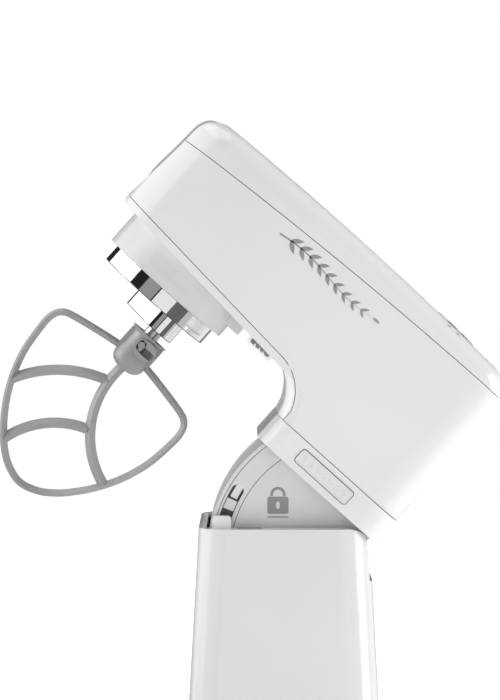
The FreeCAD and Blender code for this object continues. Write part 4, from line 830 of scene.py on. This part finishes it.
def beater_path(steps=6):
    """Give the loop's outer line, from the hub round the foot and back to the hub."""
    marks = [Vector(mark) for mark in LOOP_LINE]
    marks += [Vector((-mark.x, mark.y)) for mark in reversed(marks[:-1])]
    line = [marks[0]]
    for index in range(len(marks) - 1):
        before = marks[max(index - 1, 0)]
        start, end = marks[index], marks[index + 1]
        after = marks[min(index + 2, len(marks) - 1)]
        for step in range(1, steps + 1):
            share = step / steps
            line.append(0.5 * (2 * start + (end - before) * share
                               + (2 * before - 5 * start + 4 * end - after) * share ** 2
                               + (3 * start - before - 3 * end + after) * share ** 3))
    return line


def stadium(form, start, end, radius, low, high):
    """Add a round-ended bar through the window, between two x heights."""
    start, end = Vector(start), Vector(end)
    along = (end - start).normalized()
    aside = Vector((-along.y, along.x))
    outline = []
    for centre, way in ((end, along), (start, -along)):
        across = -aside if centre is end else aside
        for step in range(0, 181, CAP_TURN):
            angle = math.radians(step)
            point = centre + radius * (across * math.cos(angle) + way * math.sin(angle))
            outline.append((SPINDLE[1] + point.x, point.y))
    plate(form, outline, SPINDLE[0] + low, SPINDLE[0] + high)


def loose_object(name, form):
    """Make an object for carving out of a bmesh."""
    bmesh.ops.recalc_face_normals(form, faces=form.faces)
    mesh = bpy.data.meshes.new(name)
    form.to_mesh(mesh)
    form.free()
    loose = bpy.data.objects.new(name, mesh)
    bpy.context.scene.collection.objects.link(loose)
    return loose


def carve(base, *steps):
    """Join or cut shapes in order and give the finished mesh; the shapes are used up."""
    for operation, tool in steps:
        change = base.modifiers.new(operation, "BOOLEAN")
        change.operation = operation
        change.solver = "EXACT"
        change.object = tool
    bpy.context.view_layer.update()
    graph = bpy.context.evaluated_depsgraph_get()
    mesh = bpy.data.meshes.new_from_object(base.evaluated_get(graph))
    for thing in (base, *[tool for operation, tool in steps]):
        bpy.data.objects.remove(thing)
    return mesh


hub = bmesh.new()
lathe(hub, HUB_PROFILE, SPINDLE, HUB_STEPS)
wings = bmesh.new()
plate(wings, rounded_box((SPINDLE[1], WING_UP), WING_HALF, WING_CORNER),
      SPINDLE[0] - WING_DEEP, SPINDLE[0] + WING_DEEP)
wing_bore = bmesh.new()
lathe(wing_bore, ((0, BORE_FLOOR), (BORE_RADIUS, BORE_FLOOR), (BORE_RADIUS, BORE_CUT),
                  (0, BORE_CUT)), SPINDLE, HUB_STEPS)
boss = bmesh.new()
boss_middle, boss_half = WINDOW_BOSS
turns = [math.tau * step / OVAL_STEPS for step in range(OVAL_STEPS)]
oval = [(SPINDLE[1] + boss_middle[0] + boss_half[0] * math.cos(turn),
         boss_middle[1] + boss_half[1] * math.sin(turn)) for turn in turns]
plate(boss, oval, SPINDLE[0] + BOSS_DEEP[0], SPINDLE[0] + BOSS_DEEP[1])
seat_cut = bmesh.new()
stadium(seat_cut, *WINDOW_SEAT, *CUT_DEEP)
way_cut = bmesh.new()
stadium(way_cut, *WINDOW_WAY, *CUT_DEEP)
hub_mesh = carve(loose_object("hub", hub),
                 ("UNION", loose_object("wings", wings)),
                 ("UNION", loose_object("boss", boss)),
                 ("DIFFERENCE", loose_object("wing_bore", wing_bore)),
                 ("DIFFERENCE", loose_object("seat_cut", seat_cut)),
                 ("DIFFERENCE", loose_object("way_cut", way_cut)))
form = bmesh.new()
form.from_mesh(hub_mesh)
bpy.data.meshes.remove(hub_mesh)
sweep(form, beater_path(), LOOP_SECTION)
for rib in RIBS:
    sweep(form, arc_through(*rib, RIB_STEPS), RIB_SECTION)
beater = add_piece("flat_beater_casting", form, beater_metal, "beater",
                   crease=CAST_ANGLE)
edge = beater.modifiers.new("cast_edges", "BEVEL")
edge.width = CAST_EDGE
edge.segments = 2
edge.limit_method = "ANGLE"
edge.angle_limit = math.radians(CAST_ANGLE)
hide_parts("flat_beater")

# ---------------------------------------------------------------- castings
# Head chassis and motor end caps: die-cast aluminium with its sandy skin.
cast_metal = surface("cast_metal", (0.56, 0.57, 0.58), (0.44, 0.45, 0.46), (0.4, 0.62),
                     1300, 0.00012, Metallic=1.0)
dress(cast_metal, "head_chassis", "motor_end_caps")

# ------------------------------------------------- black and rubber mouldings
# Bottom cover, lock guide, cord gland, terminal, pulley and switch body.
black_moulding = surface("black_moulding", (0.045, 0.045, 0.05), (0.025, 0.025, 0.028),
                         (0.4, 0.58), 1600, 0.00006)
dress(black_moulding, "base_bottom_cover", "lock_guide", "cord_gland", "mains_terminal",
      "large_pulley", "speed_switch")
grey_rubber = surface("grey_rubber", (0.30, 0.31, 0.32), (0.22, 0.23, 0.24), (0.6, 0.8),
                      1800, 0.00008)
dress(grey_rubber, "rubber_feet", "rest_pads", "drive_belt")

# --------------------------------------------------------- gears and motor
# Nylon gears, sintered rotor and magnets, copper bushes and commutator, and
# the boards of the speed control and the lamp.
dress(gear_nylon, "ring_gear", "main_gear", "planet_pinion")
dress(surface("core_iron", (0.20, 0.19, 0.18), (0.12, 0.11, 0.11), (0.45, 0.7), 900, 0.00008,
              Metallic=0.8), "motor_magnets", "rotor_core", "carbon_brushes")
dress(surface("drawn_copper", (0.78, 0.42, 0.22), (0.62, 0.30, 0.15), (0.22, 0.4), 1400, 0.00002,
              Metallic=1.0), "shaft_bushes", "commutator")
dress(surface("green_board", (0.05, 0.26, 0.11), (0.03, 0.17, 0.07), (0.25, 0.45), 600, 0.00004),
      "lamp_board", "control_board")

# ---------------------------------------------------------------------- lamp
# Clear lens clipped under the head, with dark lamp chips on the board
# behind it that show through its side.
CHIPS = ((-151.5, 3.4), (-146.8, 2.8), (-142.6, 2.2), (-138.2, 3.4))
CHIP_TOP, CHIP_LOW = 70.0, 67.3
CHIP_STARTS, CHIP_LONG, CHIP_CORNER = (-18.4, -5.0, 9.4), 9, 0.4
clear_lens = surface("clear_lens", (0.90, 0.91, 0.92), (0.86, 0.87, 0.89), (0.04, 0.1), 500,
                     0.000005, Alpha=0.14, IOR=1.46)
dress(clear_lens, "lamp_lens")
form = bmesh.new()
for middle, wide in CHIPS:
    for low_x in CHIP_STARTS:
        plate(form, rounded_box((middle, (CHIP_TOP + CHIP_LOW) / 2),
                                (wide / 2, (CHIP_TOP - CHIP_LOW) / 2), CHIP_CORNER),
              low_x, low_x + CHIP_LONG)
add_piece("lamp_chips", form, black_marks_and_painted_shadow, "head")

# -------------------------------------------------------- dial and its scale
# Chromed turning dial with a knurled rim and a pointer line. Its speed
# numbers and wedge marks are printed on the rounded top of the head.
DIAL_CENTRE = Vector((0, -47.5, 173.5))
DIAL_LEAN = math.radians(2)
DIAL_RADIUS = 17.5
KNURLS = 54
KNURL_RADII, KNURL_HALF, KNURL_Z = (-0.6, 0.45), 0.32, (0.75, 1.85)
POINTER_LINE = ((4.0, -0.55, 1.8), (15.5, 0.55, 2.05))
POINTER_GRIP = ((-13.0, -2.2, 1.8), (3.0, 2.2, 2.0))
NUMBER_RADIUS, NUMBER_SIZE, NUMBER_SHIFT = 53.0, 8.0, 9
NUMBER_SMOOTH, NUMBER_CUTS = 5, 2
WEDGE_TIP, WEDGE_LONG, WEDGE_HALF, WEDGE_SHIFT = 50.5, 3.8, 1.9, 9.5
PRINT_UP, PRINT_WELD, PRINT_LIFT = 6, 0.001, 0.00015
SPEEDS = 7
SCALE_START, SCALE_STEP = 83.0, -41.7
DIAL = HEAD @ Matrix.Translation(DIAL_CENTRE) @ Matrix.Rotation(-DIAL_LEAN, 4, "X")


def box_between(form, low_corner, high_corner, turn):
    """Add a small block, turned about the upright axis."""
    made = bmesh.ops.create_cube(form, size=1.0)["verts"]
    size = [high - low for low, high in zip(low_corner, high_corner)]
    middle = [(high + low) / 2 for low, high in zip(low_corner, high_corner)]
    bmesh.ops.scale(form, vec=size, verts=made)
    bmesh.ops.translate(form, vec=middle, verts=made)
    bmesh.ops.rotate(form, cent=(0, 0, 0), matrix=Matrix.Rotation(turn, 3, "Z"), verts=made)


form = bmesh.new()
for number in range(KNURLS):
    box_between(form, (DIAL_RADIUS + KNURL_RADII[0], -KNURL_HALF, KNURL_Z[0]),
                (DIAL_RADIUS + KNURL_RADII[1], KNURL_HALF, KNURL_Z[1]),
                math.tau * number / KNURLS)
add_piece("dial_knurls", form, turned_steel, "dial", place=DIAL)
form = bmesh.new()
box_between(form, *POINTER_LINE, math.radians(SCALE_START))
box_between(form, *POINTER_GRIP, math.radians(SCALE_START))
add_piece("dial_pointer", form, black_marks_and_painted_shadow, "dial", place=DIAL)

print_form = bmesh.new()
for number in range(SPEEDS):
    angle = math.radians(SCALE_START + SCALE_STEP * number - NUMBER_SHIFT)
    words = bpy.data.curves.new("speed_number", "FONT")
    words.body = str(number)
    words.size = NUMBER_SIZE
    words.align_x, words.align_y = "CENTER", "CENTER"
    words.resolution_u = NUMBER_SMOOTH
    drawn = bpy.data.objects.new("speed_number", words)
    bpy.context.scene.collection.objects.link(drawn)
    bpy.context.view_layer.update()
    graph = bpy.context.evaluated_depsgraph_get()
    mesh = bpy.data.meshes.new_from_object(drawn.evaluated_get(graph))
    bpy.data.objects.remove(drawn)
    mesh.transform(Matrix.Rotation(angle, 4, "Z")
                   @ Matrix.Translation((NUMBER_RADIUS, 0, PRINT_UP))
                   @ Matrix.Rotation(math.radians(90), 4, "Z"))
    print_form.from_mesh(mesh)
    bpy.data.meshes.remove(mesh)
    corners = [Vector((WEDGE_TIP, 0, PRINT_UP)),
               Vector((WEDGE_TIP + WEDGE_LONG, WEDGE_HALF, PRINT_UP)),
               Vector((WEDGE_TIP + WEDGE_LONG, -WEDGE_HALF, PRINT_UP))]
    spin = Matrix.Rotation(angle + math.radians(WEDGE_SHIFT), 3, "Z")
    print_form.faces.new([print_form.verts.new(spin @ corner) for corner in corners])
bmesh.ops.remove_doubles(print_form, verts=print_form.verts, dist=PRINT_WELD)
bmesh.ops.subdivide_edges(print_form, edges=print_form.edges, cuts=NUMBER_CUTS,
                          use_grid_fill=True)
bmesh.ops.triangulate(print_form, faces=print_form.faces)
scale = add_piece("dial_scale", print_form, lock_ink, "head", place=DIAL)
wrap = scale.modifiers.new("printed_on", "SHRINKWRAP")
wrap.target = frame["nodes"]["head_top_cover"]
wrap.wrap_method = "NEAREST_SURFACEPOINT"
wrap.wrap_mode = "ABOVE_SURFACE"
wrap.offset = PRINT_LIFT
